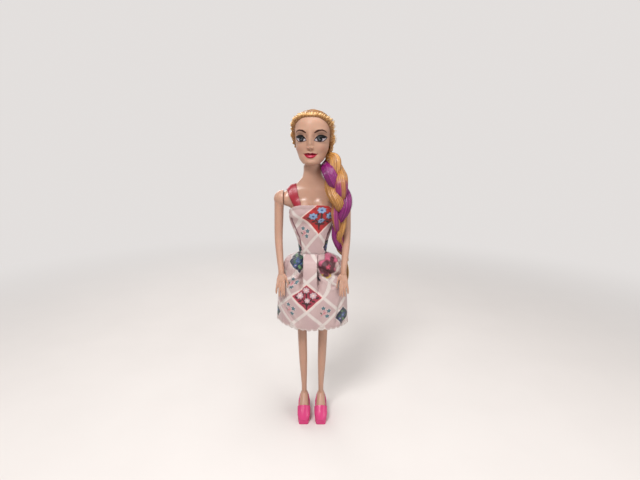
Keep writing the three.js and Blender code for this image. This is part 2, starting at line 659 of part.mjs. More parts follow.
function legSolid() {
  const spread = [hipAxisX, LEG_SPREAD, LEG_SPREAD * 0.93, LEG_SPREAD * 0.89, ANKLE_SPREAD];
  const kneeShare = KNEE_TO_HIP / (KNEE_TO_HIP + ANKLE_TO_KNEE);
  const [thigh, knee, ankle] = [THIGH_HALF_WIDTH, KNEE_HALF_WIDTH, ANKLE_HALF_WIDTH];
  const rows = [
    [0, spread[0], thigh * 0.88, THIGH_DEPTH, THIGH_DEPTH, 0],
    [kneeShare * 0.28, lerp(spread[0], spread[1], 0.4), thigh, THIGH_DEPTH * 0.93, THIGH_DEPTH * 0.96, 0],
    [kneeShare * 0.67, spread[1], lerp(thigh, knee, 0.82), THIGH_DEPTH * 0.68, THIGH_DEPTH * 0.7, 0],
    [kneeShare, spread[2], knee, knee * 1.1, knee * 1.05, 0],
    [lerp(kneeShare, 1, 0.3), spread[3], knee * 0.92, knee * 0.9, knee * 1.3, 0.25],
    [lerp(kneeShare, 1, 0.77), spread[4], ankle * 1.08, ankle * 1.25, ankle * 1.3, 0.7],
    [1, spread[4], ankle, ankle * 1.2, ankle * 1.25, 1],
  ];
  const sizes = smoothRows(rows);
  const stations = Array.from({ length: LEG_STEPS + 1 }, (_, i) => {
    const share = i / LEG_STEPS;
    const [x, wide, front, back, setBack] = sizes(share);
    const place = new THREE.Vector3(x, setBack * ANKLE_SET_BACK, lerp(HIP_Z, ANKLE_HEIGHT, share));
    return { place, wide, front, back };
  });
  const inner = CROTCH_HALF_WIDTH + CLEARANCE;
  const outer = hipAxisX + THIGH_HALF_WIDTH * 0.88;
  const hipBall = turnedAcross([
    [0, inner], [HIP_BALL_RADIUS * 0.97, inner], [HIP_BALL_RADIUS, lerp(inner, outer, 0.15)],
    [HIP_BALL_RADIUS, lerp(inner, outer, 0.5)], [HIP_BALL_RADIUS * 0.9, lerp(inner, outer, 0.8)],
    [HIP_BALL_RADIUS * 0.66, outer], [0, lerp(inner, outer, 1.08)],
  ]).translate([0, 0, HIP_Z]);
  const crotchSide = box(
    [-OVERRUN, -OVERRUN, HIP_Z - 2 * HIP_BALL_RADIUS],
    [inner, OVERRUN, HIP_Z + OVERRUN],
  );
  return limb(stations, LIMB_SEGMENTS)
    .add(hipBall)
    .add(solidOf(loft(footRings(0, 0, 1, false))))
    .subtract(crotchSide)
    .subtract(hipAxle(CLEARANCE));
}

// Mule on the doll's left foot: sole, toe box and heel in one moulding, open behind
const TOE_BOX_SHARE = 0.56;
const TOE_END_SHARE = 1.02;
const BALL_OF_FOOT_SHARE = 0.62;
function shoeSolid() {
  const cavity = solidOf(loft(footRings(CLEARANCE, 0, 1 + CLEARANCE / FOOT_LENGTH, true)));
  const toeBox = solidOf(loft(footRings(CLEARANCE + SHOE_WALL, TOE_BOX_SHARE, TOE_END_SHARE, true)));
  const sizes = smoothRows(FOOT_SHARES);
  const under = (share, drop) => footStart.clone()
    .addScaledVector(footAlong, share * FOOT_LENGTH)
    .addScaledVector(footUp, -(drop + CLEARANCE) - FOOT_THICKNESS * Math.max(
      sizes(share)[2],
      ...FOOT_SHARES.filter((row) => row[0] >= share).map((row) => row[3]),
    ));
  const archShares = [0.05, 0.25, 0.45, BALL_OF_FOOT_SHARE];
  const topLine = [...archShares, 0.98].map((share) => under(share, 0));
  const lowLine = archShares.map((share) => under(share, SOLE_THICKNESS)).reverse();
  const tip = footStart.clone().addScaledVector(footAlong, FOOT_LENGTH);
  const toeY = tip.y - TOE_OVERHANG;
  const ballY = under(BALL_OF_FOOT_SHARE, SOLE_THICKNESS).y;
  const side = [
    ...topLine.map((p) => [p.y, p.z]),
    [toeY, tip.z],
    [toeY, 0],
    [ballY, 0],
    ...lowLine.map((p) => [p.y, p.z]),
  ];
  const outline = new THREE.Shape(side.map(([y, z]) => new THREE.Vector2(y, z)));
  const width = 2 * (FOOT_HALF_WIDTH + CLEARANCE + SHOE_WALL * 0.4);
  const slab = new THREE.ExtrudeGeometry(outline, { depth: width, bevelEnabled: false });
  const turn = new THREE.Matrix4().makeBasis(
    new THREE.Vector3(0, 1, 0), new THREE.Vector3(0, 0, 1), X_AXIS,
  );
  const sole = solidOf(slab.applyMatrix4(turn)).translate([ANKLE_SPREAD - width / 2, 0, 0]);
  const seat = under(0.12, SOLE_THICKNESS / 2);
  const heel = turnedUpright([
    [0, 0], [HEEL_TIP_RADIUS, 0], [HEEL_TOP_RADIUS * 0.8, seat.z * 0.7], [HEEL_TOP_RADIUS, seat.z],
    [0, seat.z],
  ], LIMB_SEGMENTS).translate([ANKLE_SPREAD, seat.y, 0]);
  const rod = turnedUpright([[0, -OVERRUN], [1, -OVERRUN], [1, OVERRUN], [0, OVERRUN]]);
  const planShape = rod
    .scale([width * 0.56, (seat.y - toeY) * 0.66, 1])
    .translate([ANKLE_SPREAD, (toeY + seat.y) / 2, 0]);
  return sole
    .intersect(planShape)
    .add(toeBox.subtract(box([-OVERRUN, -OVERRUN, -OVERRUN], [OVERRUN, OVERRUN, 0])))
    .add(heel)
    .subtract(cavity);
}

// Dress bodice, a fitted tube of cloth over the trunk, open down the middle of the back
const BODICE_TOP_Z = WAIST_Z + BODICE_HEIGHT;
const bodiceOuter = CLOTH_GAP + CLOTH_THICKNESS;
const BODICE_REACH = SHOULDER_HALF_WIDTH - SHOULDER_DISC_RADIUS * 0.8;
function bodiceBand() {
  const low = WAIST_Z + CLOTH_GAP / 2;
  const frontY = -(CHEST_DEPTH + BUST_RADIUS);
  const tilt = Math.atan2(BODICE_TOP_FALL, CHEST_DEPTH - frontY);
  const above = box([-OVERRUN, -OVERRUN, 0], [OVERRUN, OVERRUN, OVERRUN])
    .rotate([-THREE.MathUtils.radToDeg(tilt), 0, 0])
    .translate([0, frontY, BODICE_TOP_Z]);
  return box([-OVERRUN, -OVERRUN, low], [OVERRUN, OVERRUN, NECK_BASE_Z]).subtract(above);
}
function bodiceSolid() {
  const gap = box([-CLOSURE_HALF_GAP, 0, 0], [CLOSURE_HALF_GAP, OVERRUN, NECK_BASE_Z]);
  return dressForm(bodiceOuter)
    .subtract(dressForm(CLOTH_GAP))
    .intersect(bodiceBand())
    .intersect(box([-BODICE_REACH, -OVERRUN, 0], [BODICE_REACH, OVERRUN, NECK_BASE_Z]))
    .subtract(gap);
}
// A closure strip on the back, between two distances off the trunk
function closureStrip(inner, outer, halfWidth) {
  const back = box([-halfWidth, 0, 0], [halfWidth, OVERRUN, BODICE_TOP_Z - BODICE_TOP_FALL]);
  return trunkSolid(outer).subtract(trunkSolid(inner)).intersect(bodiceBand()).intersect(back);
}

// Red ribbon over the doll's right shoulder, from the front of the bodice to the back
function strapSolid() {
  const half = STRAP_WIDTH / 2;
  const low = BODICE_TOP_Z;
  const high = NECK_BASE_Z;
  const band = new THREE.Shape([
    new THREE.Vector2(-STRAP_FOOT_X - half, low - BODICE_TOP_FALL * 2),
    new THREE.Vector2(-STRAP_FOOT_X + half, low - BODICE_TOP_FALL * 2),
    new THREE.Vector2(-STRAP_TOP_X + half, high),
    new THREE.Vector2(-STRAP_TOP_X - half, high),
  ]);
  const slab = new THREE.ExtrudeGeometry(band, { depth: 2 * OVERRUN, bevelEnabled: false });
  const prism = solidOf(slab.rotateX(Math.PI / 2)).translate([0, OVERRUN, 0]);
  const upper = box([-OVERRUN, -OVERRUN, 0], [OVERRUN, OVERRUN, SHOULDER_Z + OVERRUN])
    .subtract(bodiceBand().translate([0, 0, CLOTH_GAP]));
  return dressForm(CLOTH_GAP + STRAP_THICKNESS)
    .subtract(dressForm(CLOTH_GAP))
    .intersect(prism)
    .intersect(upper);
}

// Gathered skirt, a bell open below: how far it has spread in width and depth at each share of its length
const SKIRT_SHARES = [
  [0, 0, 0],
  [0.06, 0.5, 0.5],
  [0.12, 0.64, 0.67],
  [0.28, 0.8, 0.82],
  [0.5, 0.91, 0.93],
  [0.78, 0.98, 1],
  [1, 1, 1],
];
// Its folds: place and width as shares of a turn from the left side, depth, and how far down each runs.
// The first two are the grooves on each side of the box pleat in front.
const FOLD_SHARES = [
  [0.685, 0.02, 1, 0.62], [0.785, 0.02, 1, 0.62], [0.6, 0.016, 0.6, 0.4], [0.875, 0.016, 0.7, 0.45],
  [0.52, 0.018, 0.55, 1.3], [0.96, 0.018, 0.5, 1.2], [0.04, 0.018, 0.7, 0.8], [0.12, 0.018, 0.6, 1.5],
  [0.2, 0.016, 0.9, 0.9], [0.3, 0.016, 0.9, 0.9], [0.38, 0.018, 0.6, 1.5], [0.46, 0.018, 0.7, 0.8],
];
function foldDepth(turn, down) {
  const depths = FOLD_SHARES.map(([place, wide, deep, run]) => {
    const away = Math.abs(turn - place);
    const near = Math.min(away, 1 - away) / wide;
    return deep * Math.exp(-near * near) * Math.max(0, 1 - down / run);
  });
  return SKIRT_FOLD_DEPTH * depths.reduce((sum, depth) => sum + depth);
}
function skirtRings(inset) {
  const sizes = smoothRows(SKIRT_SHARES);
  const top = WAIST_Z - CLOTH_GAP / 2;
  const [waistWide, waistFront, waistBack] = smoothRows(trunkRows(bodiceOuter - inset))(WAIST_Z);
  const waist = ring(
    new THREE.Vector3(), Z_AXIS, waistWide, waistFront, waistBack, SKIRT_SEGMENTS, TRUNK_FULLNESS,
  );
  return Array.from({ length: SKIRT_STEPS + 1 }, (_, i) => {
    const share = 1 - (i / SKIRT_STEPS) ** 1.4;
    const [wide, deep] = sizes(share);
    const z = top - share * SKIRT_LENGTH;
    return waist.map((place, k) => {
      const turn = k / SKIRT_SEGMENTS;
      const angle = 2 * Math.PI * turn;
      const drawnIn = inset + foldDepth(turn, share);
      const x = (SKIRT_HALF_WIDTH - drawnIn) * Math.cos(angle);
      const y = (SKIRT_HALF_DEPTH - drawnIn) * Math.sin(angle);
      return new THREE.Vector3(lerp(place.x, x, wide), lerp(place.y, y, deep), z);
    });
  });
}
function skirtSolid() {
  const outer = skirtRings(0);
  const inner = skirtRings(CLOTH_THICKNESS);
  const count = SKIRT_SEGMENTS;
  const places = [];
  const face = (...points) => points.forEach((p) => places.push(p.x, p.y, p.z));
  const wall = (lower, upper) => lower.forEach((a, i) => {
    const j = (i + 1) % count;
    face(a, lower[j], upper[j]);
    face(a, upper[j], upper[i]);
  });
  outer.slice(1).forEach((upper, k) => wall(outer[k], upper));
  inner.slice(1).forEach((upper, k) => wall(upper, inner[k]));
  wall(outer[outer.length - 1], inner[inner.length - 1]);
  wall(inner[0], outer[0]);
  const geometry = new THREE.BufferGeometry();
  geometry.setAttribute("position", new THREE.Float32BufferAttribute(places, 3));
  return solidOf(geometry);
}

// Plait: from behind the left ear over the shoulder, down between the bodice and the arm, and out
// behind the forearm. Each row is a share of the length, then of the shoulder half width, the chest
// depth and the plait radius.
const PLAIT_SHARES = [
  [0, 0.52, 0.3, 0.75],
  [0.08, 0.7, -0.35, 1],
  [0.2, 0.84, -1.3, 1.1],
  [0.4, 0.96, -1.75, 1.05],
  [0.58, 0.91, -1.4, 0.76],
  [0.77, 0.88, -0.85, 0.56],
  [0.88, 0.99, -0.3, 0.48],
  [0.97, 1.18, 0.38, 0.38],
  [1, 1.2, 0.42, 0.34],
];
const PLAIT_ROOT_Z = CHIN_Z + HEAD_HEIGHT * 0.16;
function plaitPlace(share) {
  const [across, forward, size] = smoothRows(PLAIT_SHARES)(share);
  const place = new THREE.Vector3(
    across * SHOULDER_HALF_WIDTH,
    forward * CHEST_DEPTH,
    PLAIT_ROOT_Z - share * PLAIT_LENGTH,
  );
  return { place, size: size * PLAIT_RADIUS };
}
const plaitEnd = plaitPlace(0.99).place;
function clearOfDoll(solid) {
  const arm = armSolid();
  const room = [-1, 1].map((s) => arm.translate([-CLEARANCE, s * CLEARANCE, 0]));
  return solid
    .subtract(dressForm(bodiceOuter + CLOTH_GAP))
    .subtract(room[0])
    .subtract(room[1])
    .subtract(egg(neckBall, Array(3).fill(SOCKET_RADIUS + CLEARANCE)))
    .subtract(turnedHead(headLoft(HAIR_THICKNESS + CLEARANCE)));
}
function plaitSolid() {
  const count = PLAIT_LOBES * PLAIT_STEPS_PER_LOBE;
  const stations = Array.from({ length: count + 1 }, (_, i) => {
    const { place, size } = plaitPlace(i / count);
    const turn = (Math.PI * i) / PLAIT_STEPS_PER_LOBE;
    const swell = 0.86 + 0.14 * Math.abs(Math.sin(turn));
    place.x += size * 0.12 * Math.sin(turn);
    return { place, wide: size * swell, front: size * swell * 0.7, back: size * swell * 0.7 };
  });
  const below = box([-OVERRUN, -OVERRUN, 0], [OVERRUN, OVERRUN, plaitEnd.z]);
  return clearOfDoll(limb(stations, PLAIT_SEGMENTS)).subtract(below);
}
function tieSolid() {
  const end = plaitEnd;
  const half = TIE_HEIGHT / 2;
  return turnedUpright([
    [0, -half], [TIE_RADIUS * 0.85, -half], [TIE_RADIUS, 0], [TIE_RADIUS * 0.85, half], [0, half],
  ], LIMB_SEGMENTS).translate([end.x, end.y, end.z - half - CLEARANCE]);
}
const TAIL_SHARES = [
  [-0.05, 0.8, 0, 0],
  [0, 0.85, 0, 0.04],
  [0.3, 1, 0.25, 0.7],
  [0.7, 0.8, 0.4, 1.6],
  [1, 0.35, 0.45, 2.1],
];
function tailSolid() {
  const end = plaitEnd;
  const top = end.z - TIE_HEIGHT - 2 * CLEARANCE;
  return limb(TAIL_SHARES.map(([share, size, out, rear]) => ({
    place: new THREE.Vector3(
      end.x + out * TIE_RADIUS,
      end.y + rear * TIE_RADIUS,
      top - share * TAIL_LENGTH,
    ),
    wide: size * TIE_RADIUS * 0.75,
    front: size * TIE_RADIUS * 0.75,
    back: size * TIE_RADIUS * 0.75,
  })), LIMB_SEGMENTS).subtract(box([-OVERRUN, -OVERRUN, top], [OVERRUN, OVERRUN, NECK_BASE_Z]));
}

// Materials
const plastic = (color, roughness) => new THREE.MeshStandardMaterial({ color, roughness });
const skinVinyl = plastic(0xe0b592, 0.42);
const skinHard = plastic(0xd9b095, 0.35);
const naturalPlastic = plastic(0xe9e2d6, 0.5);
const printedCloth = plastic(0xe8cdd0, 0.6);
const ribbonRed = plastic(0x9c1630, 0.35);
const blondeFibre = plastic(0xd19a4a, 0.35);
const mixedFibre = plastic(0xb0703f, 0.35);
const elastic = plastic(0xc9a36a, 0.7);
const closureWhite = plastic(0xf0e6e4, 0.9);
const shoePlastic = plastic(0xd64b86, 0.3);

const doll = new THREE.Group();
function add(name, solid, material) {
  const mesh = new THREE.Mesh(geometryOf(solid), material);
  mesh.name = name;
  doll.add(mesh);
}

const shell = trunkShell();
const halfSeam = SHELL_SEAM / 2;
const frontSide = box([-OVERRUN, -OVERRUN, 0], [OVERRUN, -halfSeam, NECK_BALL_Z]);
const backSide = box([-OVERRUN, halfSeam, 0], [OVERRUN, OVERRUN, NECK_BALL_Z]);
add("torso_front", shell.intersect(frontSide), skinHard);
add("torso_back", shell.intersect(backSide), skinHard);
add("neck_post", neckPost(), naturalPlastic);
add("hip_axle", hipAxle(0), naturalPlastic);
add("head", turnedHead(headSolid()), skinVinyl);
add("rooted_hair", turnedHead(hairCap()), blondeFibre);
const leftPieces = {
  shoulder_plug: [shoulderPlug(), naturalPlastic],
  arm: [armSolid(), skinVinyl],
  leg: [legSolid(), skinVinyl],
  shoe: [shoeSolid(), shoePlastic],
};
Object.entries(leftPieces).forEach(([piece, [solid, material]]) => {
  add("left_" + piece, solid, material);
  add("right_" + piece, mirrored(solid), material);
});
add("bodice", bodiceSolid(), printedCloth);
add("closure_loop_strip", closureStrip(CLOTH_GAP, bodiceOuter, CLOSURE_HALF_GAP - CLOTH_GAP), closureWhite);
add(
  "closure_hook_strip",
  closureStrip(bodiceOuter + CLOTH_GAP, bodiceOuter + CLOTH_GAP + CLOTH_THICKNESS, CLOSURE_HALF_WIDTH),
  closureWhite,
);
add("shoulder_strap", strapSolid(), ribbonRed);
add("skirt", skirtSolid(), printedCloth);
add("plait", plaitSolid(), mixedFibre);
add("hair_tie", tieSolid(), elastic);
add("plait_tail", tailSolid(), blondeFibre);

export default doll;
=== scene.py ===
"""A fashion doll, 29 cm tall: moulded vinyl and plastic, rooted hair in a long plait, a printed dress.

Lengths below are in millimetres. +Z is up, the doll faces -Y, and its left side is +X.
"""
import json
import math

import bmesh
import bpy
import numpy as np
from mathutils import Matrix, Vector
from mathutils.bvhtree import BVHTree


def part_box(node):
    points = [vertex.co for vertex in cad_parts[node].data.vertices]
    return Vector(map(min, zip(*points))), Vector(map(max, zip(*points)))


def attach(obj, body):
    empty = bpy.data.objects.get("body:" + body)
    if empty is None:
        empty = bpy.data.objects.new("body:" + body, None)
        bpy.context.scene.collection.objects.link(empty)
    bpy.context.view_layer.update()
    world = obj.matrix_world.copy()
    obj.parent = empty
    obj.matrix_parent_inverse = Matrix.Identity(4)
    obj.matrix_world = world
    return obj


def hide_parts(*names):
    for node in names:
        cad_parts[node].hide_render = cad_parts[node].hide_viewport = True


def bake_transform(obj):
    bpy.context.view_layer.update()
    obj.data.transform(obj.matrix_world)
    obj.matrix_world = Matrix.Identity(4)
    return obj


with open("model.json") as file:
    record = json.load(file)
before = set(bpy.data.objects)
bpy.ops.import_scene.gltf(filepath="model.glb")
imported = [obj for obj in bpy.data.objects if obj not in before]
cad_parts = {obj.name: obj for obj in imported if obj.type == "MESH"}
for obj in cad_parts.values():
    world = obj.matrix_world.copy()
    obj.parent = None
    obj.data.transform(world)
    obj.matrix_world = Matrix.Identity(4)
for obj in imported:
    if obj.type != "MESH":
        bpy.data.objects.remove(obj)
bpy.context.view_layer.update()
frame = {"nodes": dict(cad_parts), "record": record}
MM = 0.001


# Camera: in front of the doll at the height of its neck, looking down on it.
# The photograph is 640 pixels wide. Its focal length in pixels was solved from the doll's own proportions.
def placed(name, data):
    """A new object in the scene, at the origin and unturned."""
    made = bpy.data.objects.new(name, data)
    bpy.context.collection.objects.link(made)
    return made


FOCAL_PX, PHOTO_WIDTH_PX, SENSOR_WIDTH = 382, 640, 36
CAMERA_PLACE, NEAREST_SEEN = (6.6, -335, 250), 10
CAMERA_DOWN_DEG, CAMERA_ROLL_DEG = 12.3, 0.3
camera = placed("camera", bpy.data.cameras.new("camera"))
camera.data.sensor_width = SENSOR_WIDTH
camera.data.lens = SENSOR_WIDTH * FOCAL_PX / PHOTO_WIDTH_PX
camera.data.clip_start = NEAREST_SEEN * MM
camera.location = Vector(CAMERA_PLACE) * MM
looking = Matrix.Rotation(math.radians(90 - CAMERA_DOWN_DEG), 3, "X")
camera.rotation_euler = (looking @ Matrix.Rotation(math.radians(CAMERA_ROLL_DEG), 3, "Z")).to_euler()
bpy.context.scene.camera = camera


# Floor and light: a pale painted board that takes the doll's shadow and fades into an even backdrop.
# Four soft round lamps stand above and round the doll.
def node(tree, kind, inputs=(), **settings):
    """A node in a tree, with its inputs linked where a socket is given, and set where a value is."""
    made = tree.nodes.new(kind)
    for key, value in settings.items():
        setattr(made, key, value)
    for key, value in dict(inputs).items():
        if isinstance(value, bpy.types.NodeSocket):
            tree.links.new(value, made.inputs[key])
        else:
            made.inputs[key].default_value = value
    return made


def maths(tree, operation, *values):
    """The result of a sum on sockets and numbers."""
    return node(tree, "ShaderNodeMath", dict(enumerate(values)), operation=operation).outputs[0]


def colours(seen):
    """Colours as seen, from 0 to 255, as an array of the shader's linear values."""
    seen = np.clip(np.asarray(seen, float) / 255, 0, 1)
    linear = np.where(seen <= 0.04045, seen / 12.92, ((seen + 0.055) / 1.055) ** 2.4)
    return np.concatenate([linear, np.ones(linear.shape[:-1] + (1,))], -1)


def srgb(*seen):
    """One colour as seen, from 0 to 255, for a shader's socket."""
    return tuple(colours(seen))


def finish_material(name, colour, roughness, **sockets):
    """A material of one Principled shader. Its constants are set on the shader itself."""
    material = bpy.data.materials.new(name)
    material.use_nodes = True
    shader = material.node_tree.nodes["Principled BSDF"]
    shader.inputs["Base Color"].default_value = colour
    shader.inputs["Roughness"].default_value = roughness
    for key, value in sockets.items():
        shader.inputs[key.replace("_", " ")].default_value = value
    return material, material.node_tree, shader


def plain_view(tree):
    """1 for what the camera sees straight or in a gloss, where the backdrop is even."""
    ray = node(tree, "ShaderNodeLightPath")
    return maths(tree, "MAXIMUM", ray.outputs["Is Camera Ray"], ray.outputs["Is Glossy Ray"])


FLOOR_COLOUR, FLOOR_GRAIN_COLOUR = (226, 220, 216), (220, 214, 210)
FLOOR_SIZE, FLOOR_ROUGHNESS, FLOOR_GRAIN_SCALE = 6000, 0.9, 90.0
FLOOR_FADE_START, FLOOR_FADE_END = 260, 900
BACKDROP_COLOUR, BACKDROP_LEVEL, WORLD_LEVEL = (238, 234, 232), 0.9, 0.36
LAMPS = [  # name, place, size, watts
    ("key_lamp", (-230, -560, 860), 320, 6.4),
    ("fill_lamp", (560, -520, 420), 520, 1.7),
    ("top_lamp", (70, -40, 900), 380, 2.6),
    ("back_lamp", (-300, 620, 520), 420, 1.5),
]
LAMP_AIM = Vector((0, 0, 170))
floor_paint, tree, shader = finish_material("pale_board", srgb(*FLOOR_COLOUR), FLOOR_ROUGHNESS)
grain = node(tree, "ShaderNodeTexNoise", {"Scale": FLOOR_GRAIN_SCALE, "Detail": 4.0})
tint = node(tree, "ShaderNodeMix", {
    "Factor": grain.outputs["Fac"], "A": srgb(*FLOOR_COLOUR), "B": srgb(*FLOOR_GRAIN_COLOUR),
}, data_type="RGBA")
tree.links.new(tint.outputs["Result"], shader.inputs["Base Color"])
where = node(tree, "ShaderNodeTexCoord")
away = node(tree, "ShaderNodeVectorMath", {0: where.outputs["Object"]}, operation="LENGTH")
fade = node(tree, "ShaderNodeMapRange", {
    "Value": away.outputs["Value"], "From Min": FLOOR_FADE_START * MM, "From Max": FLOOR_FADE_END * MM,
}, interpolation_type="SMOOTHSTEP")
faded = maths(tree, "MULTIPLY", fade.outputs["Result"], plain_view(tree))
distant = node(tree, "ShaderNodeEmission", {"Color": srgb(*BACKDROP_COLOUR), "Strength": BACKDROP_LEVEL})
blend = node(tree, "ShaderNodeMixShader", {
    0: faded, 1: shader.outputs["BSDF"], 2: distant.outputs["Emission"],
})
tree.links.new(blend.outputs["Shader"], tree.nodes["Material Output"].inputs["Surface"])
edge = FLOOR_SIZE / 2 * MM
mesh = bpy.data.meshes.new("floor")
mesh.from_pydata([(-edge, -edge, 0), (edge, -edge, 0), (edge, edge, 0), (-edge, edge, 0)], [], [(0, 1, 2, 3)])
mesh.materials.append(floor_paint)
placed("floor", mesh)

world = bpy.data.worlds.new("studio")
world.use_nodes = True
bpy.context.scene.world = world
tree = world.node_tree
background = tree.nodes["Background"]
level = node(tree, "ShaderNodeMapRange", {
    "Value": plain_view(tree), "To Min": WORLD_LEVEL, "To Max": BACKDROP_LEVEL,
})
background.inputs["Color"].default_value = srgb(*BACKDROP_COLOUR)
tree.links.new(level.outputs["Result"], background.inputs["Strength"])
for name, place, size, watts in LAMPS:
    lamp = placed(name, bpy.data.lights.new(name, "AREA"))
    lamp.data.shape = "DISK"
    lamp.data.size = size * MM
    lamp.data.energy = watts
    lamp.location = Vector(place) * MM
    lamp.rotation_euler = (LAMP_AIM - Vector(place)).to_track_quat("-Z", "Y").to_euler()
bpy.context.scene.view_settings.view_transform = "Standard"


# Trunk: two moulded halves of hard plastic, welded along the sides, flesh coloured all through.
# Its neck ends in a cup for the head, and each shoulder in a flat face that the arm turns against.
joints = {joint["name"]: joint for joint in frame["record"]["behaviour"]["joints"]}
SHOULDER, NECK = (np.array(joints[name]["pos_m"]) / MM for name in ("left_shoulder", "head_nod"))
RAY_START = 60


def cad_box(name):
    """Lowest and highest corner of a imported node, in millimetres."""
    return [np.array(corner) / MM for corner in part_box(name)]


def through(table, at):
    """Values that pass smoothly through the rows of a table whose first column is the place along it."""
    rows = np.array(table, float)
    places, values = rows[:, 0], rows[:, 1:]
    slopes = np.gradient(values, places, axis=0)
    at = np.clip(np.asarray(at, float), places[0], places[-1])
    i = np.clip(np.searchsorted(places, at, side="right") - 1, 0, len(places) - 2)
    gap = (places[i + 1] - places[i])[..., None]
    t = (at - places[i])[..., None] / gap
    low, high = values[i], values[i + 1]
    curved = (t**3 - 2 * t**2 + t) * gap * slopes[i] + (t**3 - t**2) * gap * slopes[i + 1]
    return low + (3 * t**2 - 2 * t**3) * (high - low) + curved


def blurred(values, rows, columns):
    """A grid smoothed over so many rows and columns. Its columns go all the way round."""
    for axis, sigma in ((0, rows), (1, columns)):
        if sigma <= 0:
            continue
        reach = int(math.ceil(sigma * 2.5))
        weights = np.exp(-0.5 * (np.arange(-reach, reach + 1) / sigma) ** 2)
        edges = [(0, 0)] * values.ndim
        edges[axis] = (reach, reach)
        padded = np.pad(values, edges, mode="wrap" if axis else "edge")
        count = values.shape[axis]
        values = sum(
            weight * np.take(padded, np.arange(k, k + count), axis=axis)
            for k, weight in enumerate(weights / weights.sum())
        )
    return values


def solid_tree(*solids):
    """What rays can hit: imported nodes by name, or a pair of points and faces."""
    points, faces = [], []
    for solid in solids:
        if isinstance(solid, str):
            mesh = frame["nodes"][solid].data
            own = [vertex.co / MM for vertex in mesh.vertices]
            sides = [tuple(face.vertices) for face in mesh.polygons]
        else:
            own, sides = [Vector(point) for point in solid[0]], solid[1]
        faces += [tuple(corner + len(points) for corner in face) for face in sides]
        points += own
    return BVHTree.FromPolygons(points, faces)


def hits(tree, starts, ends):
    """How far along each ray the first thing lies, as a share of the way from start to end."""
    starts, ends = (np.array(np.broadcast_arrays(starts, ends)[k]).reshape(-1, 3) for k in (0, 1))
    shares = np.full(len(starts), np.nan)
    for i, (start, end) in enumerate(zip(starts, ends)):
        way = Vector(end - start)
        place, _, _, distance = tree.ray_cast(Vector(start), way, way.length)
        if place is not None:
            shares[i] = distance / way.length
    return shares


def filled(grid):
    """A grid of ray lengths with its missing places filled from along their own row."""
    for row in grid:
        known = ~np.isnan(row)
        if known.any() and not known.all():
            turn = np.arange(len(row))
            row[~known] = np.interp(turn[~known], turn[known], row[known], period=len(row))
    return grid


def full_turn(count):
    """Even angles once round, from the doll's left side towards its back."""
    return 2 * np.pi * np.arange(count) / count


def around(tree, heights, middle, columns, blur, far=RAY_START):
    """Rings of points round a solid, found by level rays from all sides towards its middle line."""
    turn = full_turn(columns)
    out = np.stack([np.cos(turn), np.sin(turn), 0 * turn], -1)
    centres = np.column_stack([through(middle, heights), heights])[:, None]
    shares = hits(tree, centres + far * out, centres).reshape(len(heights), columns)
    reach = blurred(filled(far * (1 - shares)), *blur)
    return centres + reach[..., None] * out


def tube_faces(rows, columns, ends=True):
    """Faces over rings of points, lowest ring first and anticlockwise from above. Two middle points follow
    them where the ends are closed."""
    k, i = np.meshgrid(np.arange(rows - 1), np.arange(columns), indexing="ij")
    j = (i + 1) % columns
    sides = np.stack([k * columns + i, k * columns + j, (k + 1) * columns + j, (k + 1) * columns + i], -1)
    faces = sides.reshape(-1, 4).tolist()
    if ends:
        top = (rows - 1) * columns
        foot = rows * columns
        for i in range(columns):
            j = (i + 1) % columns
            faces.append([foot, j, i])
            faces.append([foot + 1, top + i, top + j])
    return faces


def tube_points(rings):
    """The points of rings, followed by the middles of the first and last."""
    return np.vstack([rings.reshape(-1, 3), rings[0].mean(0), rings[-1].mean(0)])


def tube(rings):
    """A closed tube as a pair of points and faces, from its rings."""
    return tube_points(rings), tube_faces(*rings.shape[:2])


def mesh_object(name, points, faces, material):
    """A smooth piece from points in millimetres."""
    mesh = bpy.data.meshes.new(name)
    mesh.from_pydata((np.asarray(points) * MM).tolist(), [], faces)
    mesh.materials.append(material)
    mesh.shade_smooth()
    return placed(name, mesh)


def new_group(name, inputs, shade):
    """An empty shader group with its inputs (name, default). It puts out a shade and a normal."""
    tree = bpy.data.node_groups.new(name, "ShaderNodeTree")
    for label, default in inputs:
        kind = "NodeSocketVector" if default is None else "NodeSocketFloat"
        socket = tree.interface.new_socket(label, in_out="INPUT", socket_type=kind)
        if default is not None:
            socket.default_value = default
    tree.interface.new_socket(shade, in_out="OUTPUT", socket_type="NodeSocketFloat")
    tree.interface.new_socket("Normal", in_out="OUTPUT", socket_type="NodeSocketVector")
    return tree, tree.nodes.new("NodeGroupInput"), tree.nodes.new("NodeGroupOutput")


def grouped(tree, group, inputs):
    """A shader group placed in a material."""
    return node(tree, "ShaderNodeGroup", inputs, node_tree=group)


moulding, ends_in, ends_out = new_group("moulding", [
    ("Blotch Scale", 60.0), ("Grain Scale", 2600.0), ("Grain Depth", 0.12),
], "Blotch")
where = node(moulding, "ShaderNodeTexCoord")
blotch = node(moulding, "ShaderNodeTexNoise", {
    "Vector": where.outputs["Object"], "Scale": ends_in.outputs["Blotch Scale"], "Detail": 3.0,
})
grain = node(moulding, "ShaderNodeTexNoise", {
    "Vector": where.outputs["Object"], "Scale": ends_in.outputs["Grain Scale"], "Detail": 2.0,
})
bump = node(moulding, "ShaderNodeBump", {
    "Strength": ends_in.outputs["Grain Depth"], "Distance": 0.0002, "Height": grain.outputs["Fac"],
})
moulding.links.new(blotch.outputs["Fac"], ends_out.inputs["Blotch"])
moulding.links.new(bump.outputs["Normal"], ends_out.inputs["Normal"])


